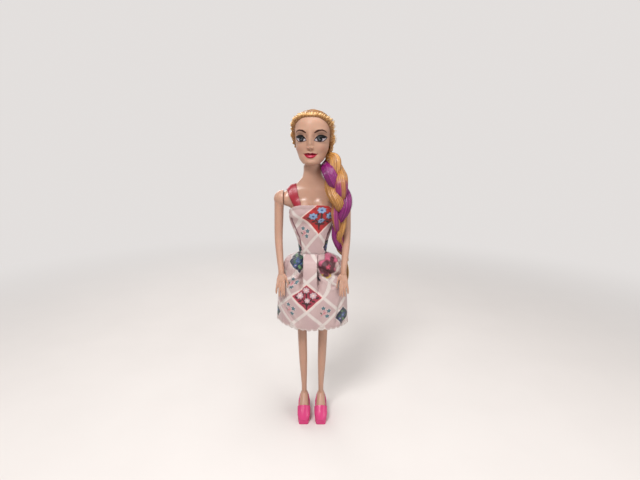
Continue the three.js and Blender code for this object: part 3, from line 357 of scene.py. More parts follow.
def moulded(name, light, dark, roughness, blotch_scale=60.0, depth=0.12, **sockets):
    """Moulded plastic: two near tones in slow blotches, a fine grain, and gloss that varies with it."""
    material, tree, shader = finish_material(name, srgb(*light), roughness, **sockets)
    marks = grouped(tree, moulding, {"Blotch Scale": blotch_scale, "Grain Depth": depth})
    tone = node(tree, "ShaderNodeMix", {
        "Factor": marks.outputs["Blotch"], "A": srgb(*dark), "B": srgb(*light),
    }, data_type="RGBA")
    gloss = node(tree, "ShaderNodeMapRange", {
        "Value": marks.outputs["Blotch"], "To Min": roughness * 1.15, "To Max": roughness * 0.85,
    })
    tree.links.new(tone.outputs["Result"], shader.inputs["Base Color"])
    tree.links.new(gloss.outputs["Result"], shader.inputs["Roughness"])
    tree.links.new(marks.outputs["Normal"], shader.inputs["Normal"])
    return material


SKIN_LIGHT, SKIN_DARK = (190, 149, 127), (177, 134, 113)
hard_skin = moulded("hard_skin", SKIN_LIGHT, SKIN_DARK, 0.3, Subsurface_Weight=0.06, Subsurface_Scale=0.002)
soft_skin = moulded("soft_skin", SKIN_LIGHT, SKIN_DARK, 0.4, Subsurface_Weight=0.08, Subsurface_Scale=0.003)

TRUNK_COLUMNS, TRUNK_ROW, TRUNK_SPLIT = 256, 0.5, 0.06
HIP_BLUR, BODY_BLUR, SHOULDER_BLUR = (0.6, 2), (5, 4.5), (1.4, 1.3)
PELVIS_TOP, PELVIS_FADE = 158, 6
SHOULDER_FACE, NECK_FOOT_Z = 25.05, SHOULDER[2] + 17
trunk_low, trunk_high = cad_box("torso_front")
trunk_middle = [(trunk_low[2], 0, 0), (SHOULDER[2], 0, 0), (NECK_FOOT_Z, 0, NECK[1]), (NECK[2], 0, NECK[1])]
trunk_tree = solid_tree("torso_front", "torso_back")
heights = np.arange(trunk_low[2] + 0.2, trunk_high[2] - 0.3, TRUNK_ROW)
close, smooth, crisp = (
    around(trunk_tree, heights, trunk_middle, TRUNK_COLUMNS, blur)
    for blur in (HIP_BLUR, BODY_BLUR, SHOULDER_BLUR)
)


def smoothstep(low, high, value):
    """0 below low, 1 above high, and smooth between."""
    t = np.clip((value - low) / (high - low), 0, 1)
    return t * t * (3 - 2 * t)


def bell(away, reach):
    """1 where away is 0, fading softly to both sides over reach."""
    return np.exp(-((away / reach) ** 2))


above_hips = smoothstep(PELVIS_TOP, PELVIS_TOP + PELVIS_FADE, heights)[:, None, None]
at_shoulders = smoothstep(SHOULDER[2] - 10, SHOULDER[2] - 6, heights)
at_shoulders = (at_shoulders * (1 - smoothstep(SHOULDER[2] + 7, SHOULDER[2] + 12, heights)))[:, None, None]
beside = smoothstep(0.55, 0.8, np.abs(close[..., :1]) / SHOULDER_FACE)
trunk = close + above_hips * (smooth - close)
trunk = trunk + at_shoulders * beside * (crisp - trunk)
NECK_FULLNESS, NECK_SWELL, NECK_RIM = 0.15, (226, 232), (245, 241)
on_neck = smoothstep(*NECK_SWELL, trunk[..., 2]) * smoothstep(*NECK_RIM, trunk[..., 2])
trunk[..., 0] *= 1 + NECK_FULLNESS * on_neck


def from_line(points, line):
    """How far each point is from a line of places."""
    line = np.array(line, float)
    nearest = np.full(points.shape[:-1], np.inf)
    for start, end in zip(line[:-1], line[1:]):
        way = end - start
        along = np.clip(((points - start) @ way) / (way @ way), 0, 1)
        nearest = np.minimum(nearest, np.linalg.norm(points - start - along[..., None] * way, axis=-1))
    return nearest


def near_line(points, line, width):
    """How near each point is to a line of places: 1 on it, fading over width."""
    return bell(from_line(points, line), width)


COLLAR_BONE = [(3.2, -7, 222), (9, -7, 222.6), (16, -6, 221.4), (21, -4, 220.4)]
COLLAR_HOLLOW = [(5, -7, 226), (12, -5, 225.6)]
BONE_RISE, BONE_WIDTH, HOLLOW_DEPTH, HOLLOW_WIDTH = 0.42, 1.7, 0.35, 2.2
for side in (1, -1):
    mirror = np.array([side, 1, 1])
    lift = BONE_RISE * near_line(trunk, COLLAR_BONE * mirror, BONE_WIDTH)
    lift -= HOLLOW_DEPTH * near_line(trunk, COLLAR_HOLLOW * mirror, HOLLOW_WIDTH)
    trunk = trunk + lift[..., None] * np.array([0, -1, 0.35])
SLOPE_LIFT, SLOPE_PLACE, SLOPE_REACH = 1.9, 19.2, 3.4
on_slope = bell(np.abs(trunk[..., 0]) - SLOPE_PLACE, SLOPE_REACH)
trunk[..., 2] += SLOPE_LIFT * on_slope * smoothstep(SHOULDER[2] + 2, SHOULDER[2] + 8, trunk[..., 2])
trunk[..., 0] = np.clip(trunk[..., 0], -SHOULDER_FACE, SHOULDER_FACE)
NECK_CUP_RADIUS, CUP_RIM_DEG, CUP_FLOOR_DEG, CUP_STEP_DEG = 7.2, 74, 4, 5
cup_angles = np.radians(np.arange(CUP_RIM_DEG, CUP_FLOOR_DEG, -CUP_STEP_DEG))
turn = full_turn(TRUNK_COLUMNS)
cup = np.stack([
    np.stack([
        NECK[0] + NECK_CUP_RADIUS * math.sin(angle) * np.cos(turn),
        NECK[1] + NECK_CUP_RADIUS * math.sin(angle) * np.sin(turn),
        np.full(TRUNK_COLUMNS, NECK[2] - NECK_CUP_RADIUS * math.cos(angle)),
    ], -1) for angle in cup_angles
])
trunk = np.concatenate([trunk, cup])


def half_of(name, points, faces, material, side, gap):
    """The front or back half of a closed skin, cut on the doll's middle plane and closed there."""
    made = mesh_object(name, points, faces, material)
    shape = bmesh.new()
    shape.from_mesh(made.data)
    bmesh.ops.bisect_plane(
        shape, geom=shape.verts[:] + shape.edges[:] + shape.faces[:], dist=1e-7,
        plane_co=(0, side * gap * MM, 0), plane_no=(0, -side, 0), clear_outer=True,
    )
    open_edges = [edge for edge in shape.edges if edge.is_boundary]
    bmesh.ops.triangle_fill(shape, edges=open_edges, use_beauty=True)
    bmesh.ops.recalc_face_normals(shape, faces=shape.faces)
    shape.to_mesh(made.data)
    shape.free()
    made.data.set_sharp_from_angle(angle=math.radians(SEAM_SHARP_DEG))
    return made


SEAM_SHARP_DEG = 60
trunk_points, trunk_faces = tube(trunk)
for side, name in ((-1, "torso_front"), (1, "torso_back")):
    piece = half_of(name + "_shell", trunk_points, trunk_faces, hard_skin, side, TRUNK_SPLIT)
    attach(piece, "torso")
    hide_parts(name)


# Neck post, hip axle and shoulder plugs: pins of unpainted plastic inside the trunk.
# They are plain turned mouldings that snap in, and hold the head, legs and arms.
pin_plastic = moulded("pin_plastic", (226, 219, 202), (212, 203, 184), 0.5, blotch_scale=140.0, depth=0.3)
for name in ("neck_post", "hip_axle", "left_shoulder_plug", "right_shoulder_plug"):
    materials = frame["nodes"][name].data.materials
    materials.clear()
    materials.append(pin_plastic)


# Head: one hollow moulding of soft vinyl, with its features moulded in, its make-up sprayed on, and painted
# shade beside and under the nose.
# A round stub below the jaw seats in the neck's cup, and the head looks a little to its right.
CHIN, HEAD_HEIGHT = 244, 43
FACE_HALF_WIDTH, HEAD_DEPTH = 15, 17
HEAD_TURN_DEG = -6
STUB_RADIUS = 6.9
HEAD_SHARES = [  # place up the head, then half width, front, back and middle as shares of its sizes
    (-0.02, 0.1, 0.1, 0.1, -0.6), (0, 0.4, 0.3, 0.3, -0.52), (0.04, 0.57, 0.52, 0.55, -0.34),
    (0.1, 0.71, 0.64, 0.7, -0.23), (0.17, 0.79, 0.74, 0.8, -0.13), (0.26, 0.885, 0.84, 0.92, -0.06),
    (0.42, 0.95, 0.93, 0.98, -0.02), (0.56, 0.99, 0.99, 1.06, 0.02), (0.7, 1, 0.98, 1.06, 0.04),
    (0.83, 0.9, 0.86, 0.92, 0.05), (0.92, 0.68, 0.65, 0.68, 0.06), (0.98, 0.36, 0.34, 0.36, 0.06),
    (1, 0.1, 0.1, 0.1, 0.06),
]
HEAD_MIDDLE = np.array([0, 1.5, 263])


def head_rings(rows, columns):
    """The bare head as rings, straight ahead."""
    shares = 0.49 - 0.51 * np.cos(np.pi * np.arange(rows) / (rows - 1))
    wide, front, back, shift = through(HEAD_SHARES, shares).T[..., None]
    turn = full_turn(columns)
    deep = np.where(np.sin(turn) > 0, back, front)
    x = wide * FACE_HALF_WIDTH * np.cos(turn)
    y = HEAD_DEPTH * (shift + deep * np.sin(turn))
    z = np.broadcast_to((CHIN + shares * HEAD_HEIGHT)[:, None], x.shape)
    return np.stack([x, y, z], -1)


def ball(centre, radius, rows=40, columns=48):
    """Rings of a round ball, or of an egg where radius has three values."""
    down = np.pi * (np.arange(1, rows) / rows)[:, None]
    turn = full_turn(columns)
    ways = np.stack([
        np.sin(down) * np.cos(turn), np.sin(down) * np.sin(turn), -np.cos(down) + 0 * turn,
    ], -1)
    return np.asarray(centre) + ways * radius


def crowded(low, high, count, middle, width, extra):
    """Places from low to high, closer together near a middle."""
    fine = np.linspace(low, high, 2000)
    density = 1 + extra * np.exp(-(((fine - middle) / width) ** 4))
    total = np.concatenate([[0], np.cumsum((density[1:] + density[:-1]) / 2)])
    return np.interp(np.linspace(0, total[-1], count), total, fine)


def unit(vectors):
    """Vectors of length one, the same way."""
    return vectors / np.linalg.norm(vectors, axis=-1, keepdims=True)


base_rings, stub_rings = head_rings(90, 120), ball(NECK, STUB_RADIUS)
head_tree = solid_tree(tube(base_rings), tube(stub_rings))
# Its rows and columns lie closer together on the face, where the features are
HEAD_COLUMNS, HEAD_ROWS, HEAD_BLUR = 330, 268, (2.2, 3)
quarter = 0.5 * np.pi
turns = crowded(-3 * quarter, quarter, HEAD_COLUMNS + 1, middle=-quarter, width=1.15, extra=2.2)[:-1]
rises = crowded(-quarter, quarter, HEAD_ROWS + 2, middle=-0.12, width=0.85, extra=1.0)[1:-1, None]
out = np.stack([
    np.cos(rises) * np.cos(turns), np.cos(rises) * np.sin(turns), np.sin(rises) + 0 * turns,
], -1)
shares = hits(head_tree, HEAD_MIDDLE + RAY_START * out, HEAD_MIDDLE).reshape(HEAD_ROWS, HEAD_COLUMNS)
reach = RAY_START * (1 - filled(shares))
head = HEAD_MIDDLE + blurred(reach, *HEAD_BLUR)[..., None] * out

# Bumps of the face: across, height above the floor, how far out, half width, half height
FACE_BUMPS = [
    (0, 267.6, 0.55, 1.3, 2.4), (0, 263.6, 1.6, 1.15, 2.7), (0, 259.8, 2.2, 1.3, 2.3),
    (0, 257.3, 1.9, 1.5, 1.25), (1.95, 256.9, 1.15, 0.95, 0.95), (1.2, 255.3, -0.9, 0.55, 0.45),
    (0, 254, -0.4, 0.7, 1.2),
    (8, 265.2, -1.5, 3.9, 3), (8, 264.2, 1.15, 3.4, 2.2), (3.5, 265.6, -0.75, 1.3, 2.6),
    (8, 271, 0.5, 5, 1.7), (9.2, 257.3, 0.75, 3.6, 3.2), (1.5, 252.6, 0.6, 1.5, 0.75),
    (3.6, 251.9, 0.35, 1.6, 0.7), (0, 249.9, 1.15, 2.6, 1.0), (2.6, 250.5, 0.25, 1.3, 0.7),
    (5.6, 251.7, -0.4, 0.8, 0.9), (0, 247.5, -0.6, 2.8, 0.9), (0, 245.4, 0.85, 3.2, 1.9),
    (0, 277, 0.35, 9, 5),
]
MOUTH_LINE = [
    (-5.8, 252.1), (-2.8, 251.3), (-1.1, 251.35), (0, 251.1), (1.1, 251.35), (2.8, 251.3), (5.8, 252.1),
]
MOUTH_DEPTH, MOUTH_WIDTH, FACE_FADE = 0.5, 0.42, (1, -5)
x, z = head[..., 0], head[..., 2]
in_front = smoothstep(*FACE_FADE, head[..., 1])
lift = np.zeros_like(x)
for across, height, rise, wide, tall in FACE_BUMPS:
    for side in {across, -across}:
        lift += rise * np.exp(-(((x - side) / wide) ** 2) - ((z - height) / tall) ** 2)
flat = np.stack([x, z], -1)
lift -= MOUTH_DEPTH * near_line(flat, MOUTH_LINE, MOUTH_WIDTH)
outward = unit(np.stack([0.75 * x, head[..., 1] - 2, 0.15 * (z - HEAD_MIDDLE[2])], -1))
head = head + (lift * in_front)[..., None] * outward

# Make-up painted on the moulding, with painted shade beside and under the nose: an eye's and a lip's edges as
# height above the floor at each place across
UPPER_LID = [(3.3, 263.3), (4.6, 265.3), (6.4, 266.9), (8.8, 267.45), (11.2, 267.1), (13.2, 266.2)]
LASH_FOOT = [(3.3, 262.9), (4.6, 264.1), (6.4, 264.75), (8.8, 264.9), (11.2, 264.6), (13.2, 265.9)]
LOWER_LID = [(3.3, 262.8), (5.4, 262.1), (8, 261.8), (10.4, 262.3), (12.2, 263.9), (13.2, 265.8)]
BROW = [(3.8, 269), (5, 269.8), (6.6, 270.6), (9.4, 271.1), (11.2, 270.5), (12.7, 269.5)]
BROW_HALF_WIDTHS = [(3.8, 0.45), (5.4, 0.7), (8, 0.58), (11, 0.42), (12.8, 0.22)]
LIP_TOP = [(0, 252.7), (1.4, 253.1), (3.3, 252.75), (5.9, 252.1)]
LIP_LINE = [(0, 251.1), (1.1, 251.35), (2.8, 251.3), (5.9, 252.1)]
LIP_FOOT = [(0, 248.6), (1.7, 248.8), (3.7, 249.9), (5.9, 252.1)]
IRIS, IRIS_RADIUS, IRIS_RIM, PUPIL_RADIUS = (7.6, 264.1), 2.15, 1.75, 1.1
FRONT_LIMIT, SKIN_TONE = -3, 0.98
# The "side" colour is painted shade beside and under the nose; "glint" and "lip_shine" are painted
# highlights.
MAKE_UP_AND_PAINTED_LIGHT = {
    "lash": (8, 5, 7), "brow": (46, 18, 8), "white": (176, 165, 172), "iris": (20, 15, 17),
    "pupil": (5, 3, 4), "glint": (120, 124, 132), "shadow": (104, 76, 64), "line": (58, 36, 34),
    "upper_lip": (104, 10, 26), "lower_lip": (158, 22, 44), "lip_shine": (240, 140, 160),
    "blush": (186, 112, 98), "side": (132, 90, 70),
}
across = np.abs(x)


def between(low_edge, high_edge, soft=0.12):
    """1 between two edges of a painted shape."""
    low, high = through(low_edge, across)[..., 0], through(high_edge, across)[..., 0]
    inside = smoothstep(low_edge[0][0] - 0.1, low_edge[0][0] + 0.1, across)
    inside *= 1 - smoothstep(high_edge[-1][0] - 0.1, high_edge[-1][0] + 0.1, across)
    return inside * smoothstep(low - soft, low + soft, z) * (1 - smoothstep(high - soft, high + soft, z))


def spot(place, wide, tall, edge):
    """1 inside an egg on each side of the face, with a soft edge."""
    away = np.hypot((across - place[0]) / wide, (z - place[1]) / tall)
    return 1 - smoothstep(1 - edge, 1 + edge, away)


def haze(place, wide, tall):
    """Paint sprayed softly about a place on each side of the face."""
    return np.exp(-(((across - place[0]) / wide) ** 2) - ((z - place[1]) / tall) ** 2)


face = np.stack([across, z], -1)
eye = between(LOWER_LID, UPPER_LID)
brow_width = through(BROW_HALF_WIDTHS, across)[..., 0]
brow_away = from_line(face, BROW)
iris = eye * spot(IRIS, IRIS_RADIUS, IRIS_RADIUS, 0.08)
layers = [  # paint, and how much of it lies where: hazes at a place across and up, with their reach each way
    ("blush", 0.16 * haze((9.6, 256.6), 3.4, 2.8)),
    ("shadow", 0.62 * haze((8.6, 268.1), 4.6, 1.7)),
    ("shadow", 0.4 * haze((3.3, 265.2), 1.1, 2.4)),
    ("shadow", 0.3 * haze((9.5, 261.2), 3.4, 0.8)),
    # Painted shade: a soft dark band down each side of the nose, and a darker patch under the nose.
    ("side", 0.32 * haze((2.5, 261), 0.8, 4.2)),
    ("side", 0.45 * haze((1.2, 255.2), 1.4, 0.55)),
    ("brow", 0.95 * (1 - smoothstep(brow_width - 0.14, brow_width + 0.14, brow_away))),
    ("white", eye),
    ("iris", iris),
    ("pupil", eye * spot(IRIS, PUPIL_RADIUS, PUPIL_RADIUS, 0.12)),
    ("pupil", iris * (1 - spot(IRIS, IRIS_RIM, IRIS_RIM, 0.12)) * 0.85),
    ("glint", 0.8 * spot((IRIS[0] + 0.1, IRIS[1] - 0.55), 0.62, 0.42, 0.35)),
    ("lash", between(LASH_FOOT, UPPER_LID, 0.2)),
    ("line", 1 - smoothstep(0.14, 0.42, from_line(face, LOWER_LID))),
    ("glint", spot((IRIS[0] - 0.5, IRIS[1] + 0.72), 0.4, 0.3, 0.3)),
    ("upper_lip", between(LIP_LINE, LIP_TOP)),
    ("lower_lip", between(LIP_FOOT, LIP_LINE)),
    ("lip_shine", 0.8 * between(LIP_FOOT, LIP_LINE) * haze((0, 250.3), 2, 0.6)),
    ("upper_lip", 0.5 * (1 - smoothstep(0.1, 0.34, from_line(flat, MOUTH_LINE)))),
]
front = head[..., 1] < FRONT_LIMIT
paint = np.broadcast_to(np.array(SKIN_LIGHT, float) * SKIN_TONE, head.shape).copy()
for name, mask in layers:
    mask = (mask * front)[..., None]
    paint += mask * (np.array(MAKE_UP_AND_PAINTED_LIGHT[name]) - paint)
glossy = np.maximum(between(LIP_FOOT, LIP_TOP), eye) * front


def attribute(made, name, values):
    """A named value, place or colour at each point of a piece."""
    values = np.asarray(values, np.float32)
    kind, key = {1: ("FLOAT", "value"), 3: ("FLOAT_VECTOR", "vector"), 4: ("FLOAT_COLOR", "color")}[
        values.shape[-1] if values.ndim > 1 else 1
    ]
    made.data.attributes.new(name, kind, "POINT").data.foreach_set(key, np.ascontiguousarray(values).ravel())


def with_ends(grid):
    """Values of a tube's points, followed by those of its two middle points."""
    return np.vstack([grid.reshape(-1, grid.shape[-1]), grid[0].mean(0), grid[-1].mean(0)])


def shaded(tree, colour, shade, shader):
    """A piece's own colour, lightened and darkened by a shade, as its shader's base colour."""
    tinted = node(tree, "ShaderNodeVectorMath", {0: colour, "Scale": shade}, operation="SCALE")
    tree.links.new(tinted.outputs["Vector"], shader.inputs["Base Color"])


def head_turned(points):
    """Points of the head and its hair turned about the neck, from straight ahead to where it looks."""
    angle = math.radians(HEAD_TURN_DEG)
    turn = np.array([
        [math.cos(angle), -math.sin(angle), 0], [math.sin(angle), math.cos(angle), 0], [0, 0, 1],
    ])
    return (points - NECK) @ turn.T + NECK


DULL_PAINT, GLOSSY_PAINT = 0.4, 0.18
face_paint, tree, shader = finish_material(
    "painted_face", srgb(*SKIN_LIGHT), DULL_PAINT,
    Specular_IOR_Level=0.2, Subsurface_Weight=0.06, Subsurface_Scale=0.002,
)
marks = grouped(tree, moulding, {"Blotch Scale": 60.0, "Grain Depth": 0.08})
colour = node(tree, "ShaderNodeAttribute", attribute_name="paint")
shine = node(tree, "ShaderNodeAttribute", attribute_name="gloss")
tone = node(tree, "ShaderNodeMapRange", {"Value": marks.outputs["Blotch"], "To Min": 0.9, "To Max": 1.04})
shaded(tree, colour.outputs["Color"], tone.outputs["Result"], shader)
gloss = node(tree, "ShaderNodeMapRange", {
    "Value": shine.outputs["Fac"], "To Min": DULL_PAINT, "To Max": GLOSSY_PAINT,
})
tree.links.new(gloss.outputs["Result"], shader.inputs["Roughness"])
tree.links.new(marks.outputs["Normal"], shader.inputs["Normal"])
head_points, head_faces = head_turned(tube_points(head)), tube_faces(HEAD_ROWS, HEAD_COLUMNS)
piece = mesh_object("head_moulding", head_points, head_faces, face_paint)
attribute(piece, "paint", colours(with_ends(paint)))
attribute(piece, "gloss", with_ends(glossy[..., None])[:, 0])
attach(piece, "head")
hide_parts("head")


# Hair on the scalp: blonde nylon fibre rooted in rows, combed back off the face over the crown.
# It rolls up at the hairline, and is drawn round to a gather behind the left jaw, where the plait starts.
HAIRLINE_SHARES = [  # degrees round from the middle of the forehead, height as a share of the head's
    (0, 0.86), (30, 0.848), (50, 0.79), (65, 0.72), (78, 0.6), (85, 0.47), (97, 0.36), (115, 0.27),
    (140, 0.2), (180, 0.16),
]
GATHER, GATHER_RADIUS, GATHER_WALL = np.array([14.5, 4.6, 252.8]), 3.2, 1.2
PLAIT_LENGTH, PLAIT_RADIUS, PLAIT_ROOT_UP, CHEST_DEPTH = 92, 8.6, 6.88, 8.8
PLAIT_SHARES = [  # share of its length, then of the shoulder half width, the chest depth and the plait radius
    (0, 0.55, 0.25, 0.86), (0.08, 0.66, -0.4, 1.12), (0.2, 0.73, -1.3, 1.2), (0.4, 0.94, -1.75, 1.05),
    (0.58, 0.91, -1.4, 0.76), (0.77, 0.88, -0.85, 0.56), (0.88, 0.99, -0.3, 0.48), (0.97, 1.18, 0.38, 0.38),
    (1, 1.2, 0.42, 0.34),
]


def plait_place(share):
    """Middle of the plait and its half width at shares of its length."""
    across, forward, size = through(PLAIT_SHARES, share).T
    height = CHIN + PLAIT_ROOT_UP - np.asarray(share) * PLAIT_LENGTH
    return np.stack([across * SHOULDER[0], forward * CHEST_DEPTH, height], -1), size * PLAIT_RADIUS


HAIR_COLUMNS, HAIR_ROWS, LINING_ROWS = 760, 104, 14
HAIR_AXIS_Y, SKULL_BLUR, LEAVES_SKULL_AT = 0.8, (1.5, 4), 0.93
OVER_CROWN, OVER_CROWN_FROM_RIGHT = np.array([-0.12, 0.3, 0.22]), np.array([-0.04, 0.2, 0.14])
azimuth = np.linspace(-180, 180, HAIR_COLUMNS, endpoint=False)
to_left, to_front = np.sin(np.radians(azimuth)), np.cos(np.radians(azimuth))
line_height = CHIN + HEAD_HEIGHT * through(HAIRLINE_SHARES, np.abs(azimuth))[:, 0]
plan = np.stack([to_left, -to_front, 0 * azimuth], -1)
inner = np.stack([0 * azimuth, 0 * azimuth + HAIR_AXIS_Y, line_height], -1)
roots = inner + RAY_START * (1 - hits(head_tree, inner + RAY_START * plan, inner))[:, None] * plan
first = unit(np.stack([
    0.35 * to_left, 0.55 + 0.45 * np.abs(to_left), 0.75 * np.clip(to_front, -0.4, 1) + 0.3,
], -1))
distance = np.linalg.norm(roots - GATHER, axis=-1)[:, None]
arrival = unit(plait_place(0.1)[0] - plait_place(0)[0])
spread = roots - GATHER
spread = unit(spread - (spread @ arrival)[:, None] * arrival)
ring = GATHER + GATHER_RADIUS * spread
from_right = smoothstep(-0.05, -0.55, to_left)[:, None]
over_crown = OVER_CROWN + from_right * OVER_CROWN_FROM_RIGHT
controls = [
    roots, roots + first * distance * (0.42 + 0.08 * from_right),
    ring + distance * (0.3 * spread + over_crown), ring,
]


def bezier(t):
    """Places along every flow line of the hair, from its root to the gather."""
    place = (1 - t) ** 3 * controls[0] + 3 * (1 - t) ** 2 * t * controls[1]
    return place + 3 * (1 - t) * t**2 * controls[2] + t**3 * controls[3]


fine = np.linspace(0, 1, 400)
swept = np.linalg.norm(np.diff(unit(bezier(fine[:, None, None]) - HEAD_MIDDLE), axis=0), axis=-1)
swept = np.concatenate([0 * swept[:1], np.cumsum(swept, 0)])
even = np.linspace(0, 1, HAIR_ROWS) ** 1.5
t = np.stack([np.interp(even, line / line[-1], fine) for line in swept.T], 1)[..., None]
flow = bezier(t)
towards = unit(flow - HEAD_MIDDLE)
shares = hits(head_tree, HEAD_MIDDLE + RAY_START * towards, HEAD_MIDDLE).reshape(flow.shape[:2])
skull = blurred(RAY_START * (1 - filled(shares)), *SKULL_BLUR)
random = np.random.default_rng(7)


def ridges(count, columns, sharp=1.0):
    """Locks side by side round a bundle: a wavy profile with uneven widths and heights."""
    edges = (np.arange(count) + 0.35 * random.standard_normal(count)) / count % 1
    place = np.arange(columns) / columns
    nearest = np.abs(place[:, None] - edges)
    nearest = np.minimum(nearest, 1 - nearest).min(1)
    return np.minimum(2 * nearest * count, 1) ** sharp


steps = np.linalg.norm(np.diff(flow, axis=0), axis=-1)
run = np.concatenate([0 * steps[:1], np.cumsum(steps, 0)])  # how far from the root along each line
HAIR_LOCKS, HAIR_STRANDS, LINING_DEPTH = 66, 160, 0.4
ROLL_HEIGHT, LAY_HEIGHT, LOCK_DEPTH, STRAND_DEPTH, HAIR_FOOT = 1.9, 1.25, 0.8, 0.25, 0.3
ROLL_SWELLS = [(0.9, 78, 32), (0.85, -74, 34), (-0.4, 0, 30)]  # how much, degrees round, reach
locks, strands = ridges(HAIR_LOCKS, HAIR_COLUMNS, 0.6), ridges(HAIR_STRANDS, HAIR_COLUMNS)
locks, strands = (blurred(np.stack([row] * 2), 0, 1)[0] for row in (locks, strands))
proud = np.ones(HAIR_COLUMNS)
for gain, middle, reach in ROLL_SWELLS:
    proud = proud + gain * bell(azimuth - middle, reach)
roll = ROLL_HEIGHT * proud * smoothstep(0, 1.5, run) * (1 - smoothstep(2.6, 7, run))
lay = LAY_HEIGHT * smoothstep(0.5, 6, run)
grooves = LOCK_DEPTH * proud * smoothstep(0, 1.2, run) * (1 - 0.6 * smoothstep(3, 9, run))
thick = HAIR_FOOT + roll + lay + 1.25 * grooves * (locks - 0.75)
thick = np.maximum(thick + STRAND_DEPTH * smoothstep(0.5, 2, run) * (strands - 0.5), HAIR_FOOT)
outer = HEAD_MIDDLE + (skull + thick)[..., None] * towards
leave = smoothstep(LEAVES_SKULL_AT, 1, t)
outer = outer + leave * (flow + 0.5 * (0.6 * locks + 0.4 * strands)[:, None] * spread - outer)
inside = HEAD_MIDDLE + (skull - LINING_DEPTH)[..., None] * towards
inside = inside + leave * (flow - GATHER_WALL * spread - inside)
kept = np.linspace(HAIR_ROWS - 1, 0, LINING_ROWS).astype(int)
closed = np.concatenate([outer, inside[kept]])
rows = len(closed)
faces = tube_faces(rows + 1, HAIR_COLUMNS, ends=False)
faces = [[corner % (rows * HAIR_COLUMNS) for corner in face] for face in faces]

GOLD, HONEY, AMBER, PALE_GOLD = (np.array(c, float) for c in (
    (222, 164, 88), (176, 120, 58), (122, 74, 34), (244, 206, 146),
))
fibre_lines, ends_in, ends_out = new_group("fibre_lines", [
    ("Place", None), ("Lines", 500.0), ("Depth", 0.5),
], "Shade")
stretch = node(fibre_lines, "ShaderNodeVectorMath", {
    0: ends_in.outputs["Place"], 1: (1.0, 0.02, 1.0),
}, operation="MULTIPLY")
fine = node(fibre_lines, "ShaderNodeTexNoise", {
    "Vector": stretch.outputs["Vector"], "Scale": ends_in.outputs["Lines"], "Detail": 4.0, "Roughness": 0.65,
})
bump = node(fibre_lines, "ShaderNodeBump", {
    "Strength": ends_in.outputs["Depth"], "Distance": 0.0003, "Height": fine.outputs["Fac"],
})
contrast = node(fibre_lines, "ShaderNodeMapRange", {
    "Value": fine.outputs["Fac"], "From Min": 0.3, "From Max": 0.7, "To Min": 0.62, "To Max": 1.22,
})
fibre_lines.links.new(contrast.outputs["Result"], ends_out.inputs["Shade"])
fibre_lines.links.new(bump.outputs["Normal"], ends_out.inputs["Normal"])


def fibre_finish(name, roughness, lines, depth):
    """Glossy fibre: its dye from the piece's own colours, with a painted highlight and painted shade on the
    scalp hair, and fine lines that run along it.
    """
    material, tree, shader = finish_material(name, srgb(*HONEY), roughness)
    place = node(tree, "ShaderNodeAttribute", attribute_name="along")
    dye_and_painted_light = node(tree, "ShaderNodeAttribute", attribute_name="dye_and_painted_light")
    lined = grouped(tree, fibre_lines, {"Place": place.outputs["Vector"], "Lines": lines, "Depth": depth})
    shaded(tree, dye_and_painted_light.outputs["Color"], lined.outputs["Shade"], shader)
    tree.links.new(lined.outputs["Normal"], shader.inputs["Normal"])
    return material


def combed(columns, down):
    """Where the fine lines of a bundle run: from column to column, and how far down it."""
    return np.stack(np.broadcast_arrays(np.arange(columns)[None] / columns, down, 0 * down), -1)


scalp_fibre = fibre_finish("scalp_fibre", 0.27, 700.0, 0.4)
piece = mesh_object("scalp_hair", head_turned(closed.reshape(-1, 3)), faces, scalp_fibre)
tone = np.clip(0.05 + 0.7 * locks + 0.3 * strands + 0.06 * random.standard_normal(HAIR_COLUMNS), 0, 1)
# Painted light on the combed hair: a bright band along the roll a little behind the hairline is a painted
# highlight, and the darker roots are painted shade.
painted_highlight_band = (smoothstep(0.8, 1.7, run) * (1 - smoothstep(2.6, 4.6, run)))[..., None]
painted_root_shade = (1 - smoothstep(0.2, 1.2, run))[..., None]
dark_dye_and_root_shade = AMBER * 0.8
dull = dark_dye_and_root_shade + tone[:, None] * (HONEY - dark_dye_and_root_shade)
painted_highlight_dye = HONEY + tone[:, None] * (PALE_GOLD - HONEY)
dye_and_light_rows = dull + painted_highlight_band * (painted_highlight_dye - dull)
dye_and_light_rows = dye_and_light_rows + 0.6 * painted_root_shade * (dark_dye_and_root_shade - dye_and_light_rows)
attribute(piece, "dye_and_painted_light", colours(np.concatenate([dye_and_light_rows, dye_and_light_rows[kept]]).reshape(-1, 3)))
along = combed(HAIR_COLUMNS, run / 16)
attribute(piece, "along", np.concatenate([along, along[kept]]).reshape(-1, 3))
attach(piece, "head")
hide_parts("rooted_hair")


# Single fibres that stand off the combed hair: a tree turns each line of points into a fine tapered strand
def growing_tree(name, inputs):
    """An empty tree that makes a piece from lines, with its own inputs (name, kind, default) beside them."""
    tree = bpy.data.node_groups.new(name, "GeometryNodeTree")
    tree.interface.new_socket("Lines", in_out="INPUT", socket_type="NodeSocketGeometry")
    for label, kind, default in inputs:
        tree.interface.new_socket(label, in_out="INPUT", socket_type=kind).default_value = default
    tree.interface.new_socket("Material", in_out="INPUT", socket_type="NodeSocketMaterial")
    tree.interface.new_socket("Piece", in_out="OUTPUT", socket_type="NodeSocketGeometry")
    return tree, tree.nodes.new("NodeGroupInput")


def grown_out(tree, given, geometry):
    """The end of such a tree: its instances made real and given their material."""
    real = node(tree, "GeometryNodeRealizeInstances", {"Geometry": geometry})
    made = node(tree, "GeometryNodeSetMaterial", {
        "Geometry": real.outputs[0], "Material": given.outputs["Material"],
    })
    node(tree, "NodeGroupOutput", {"Piece": made.outputs[0]})


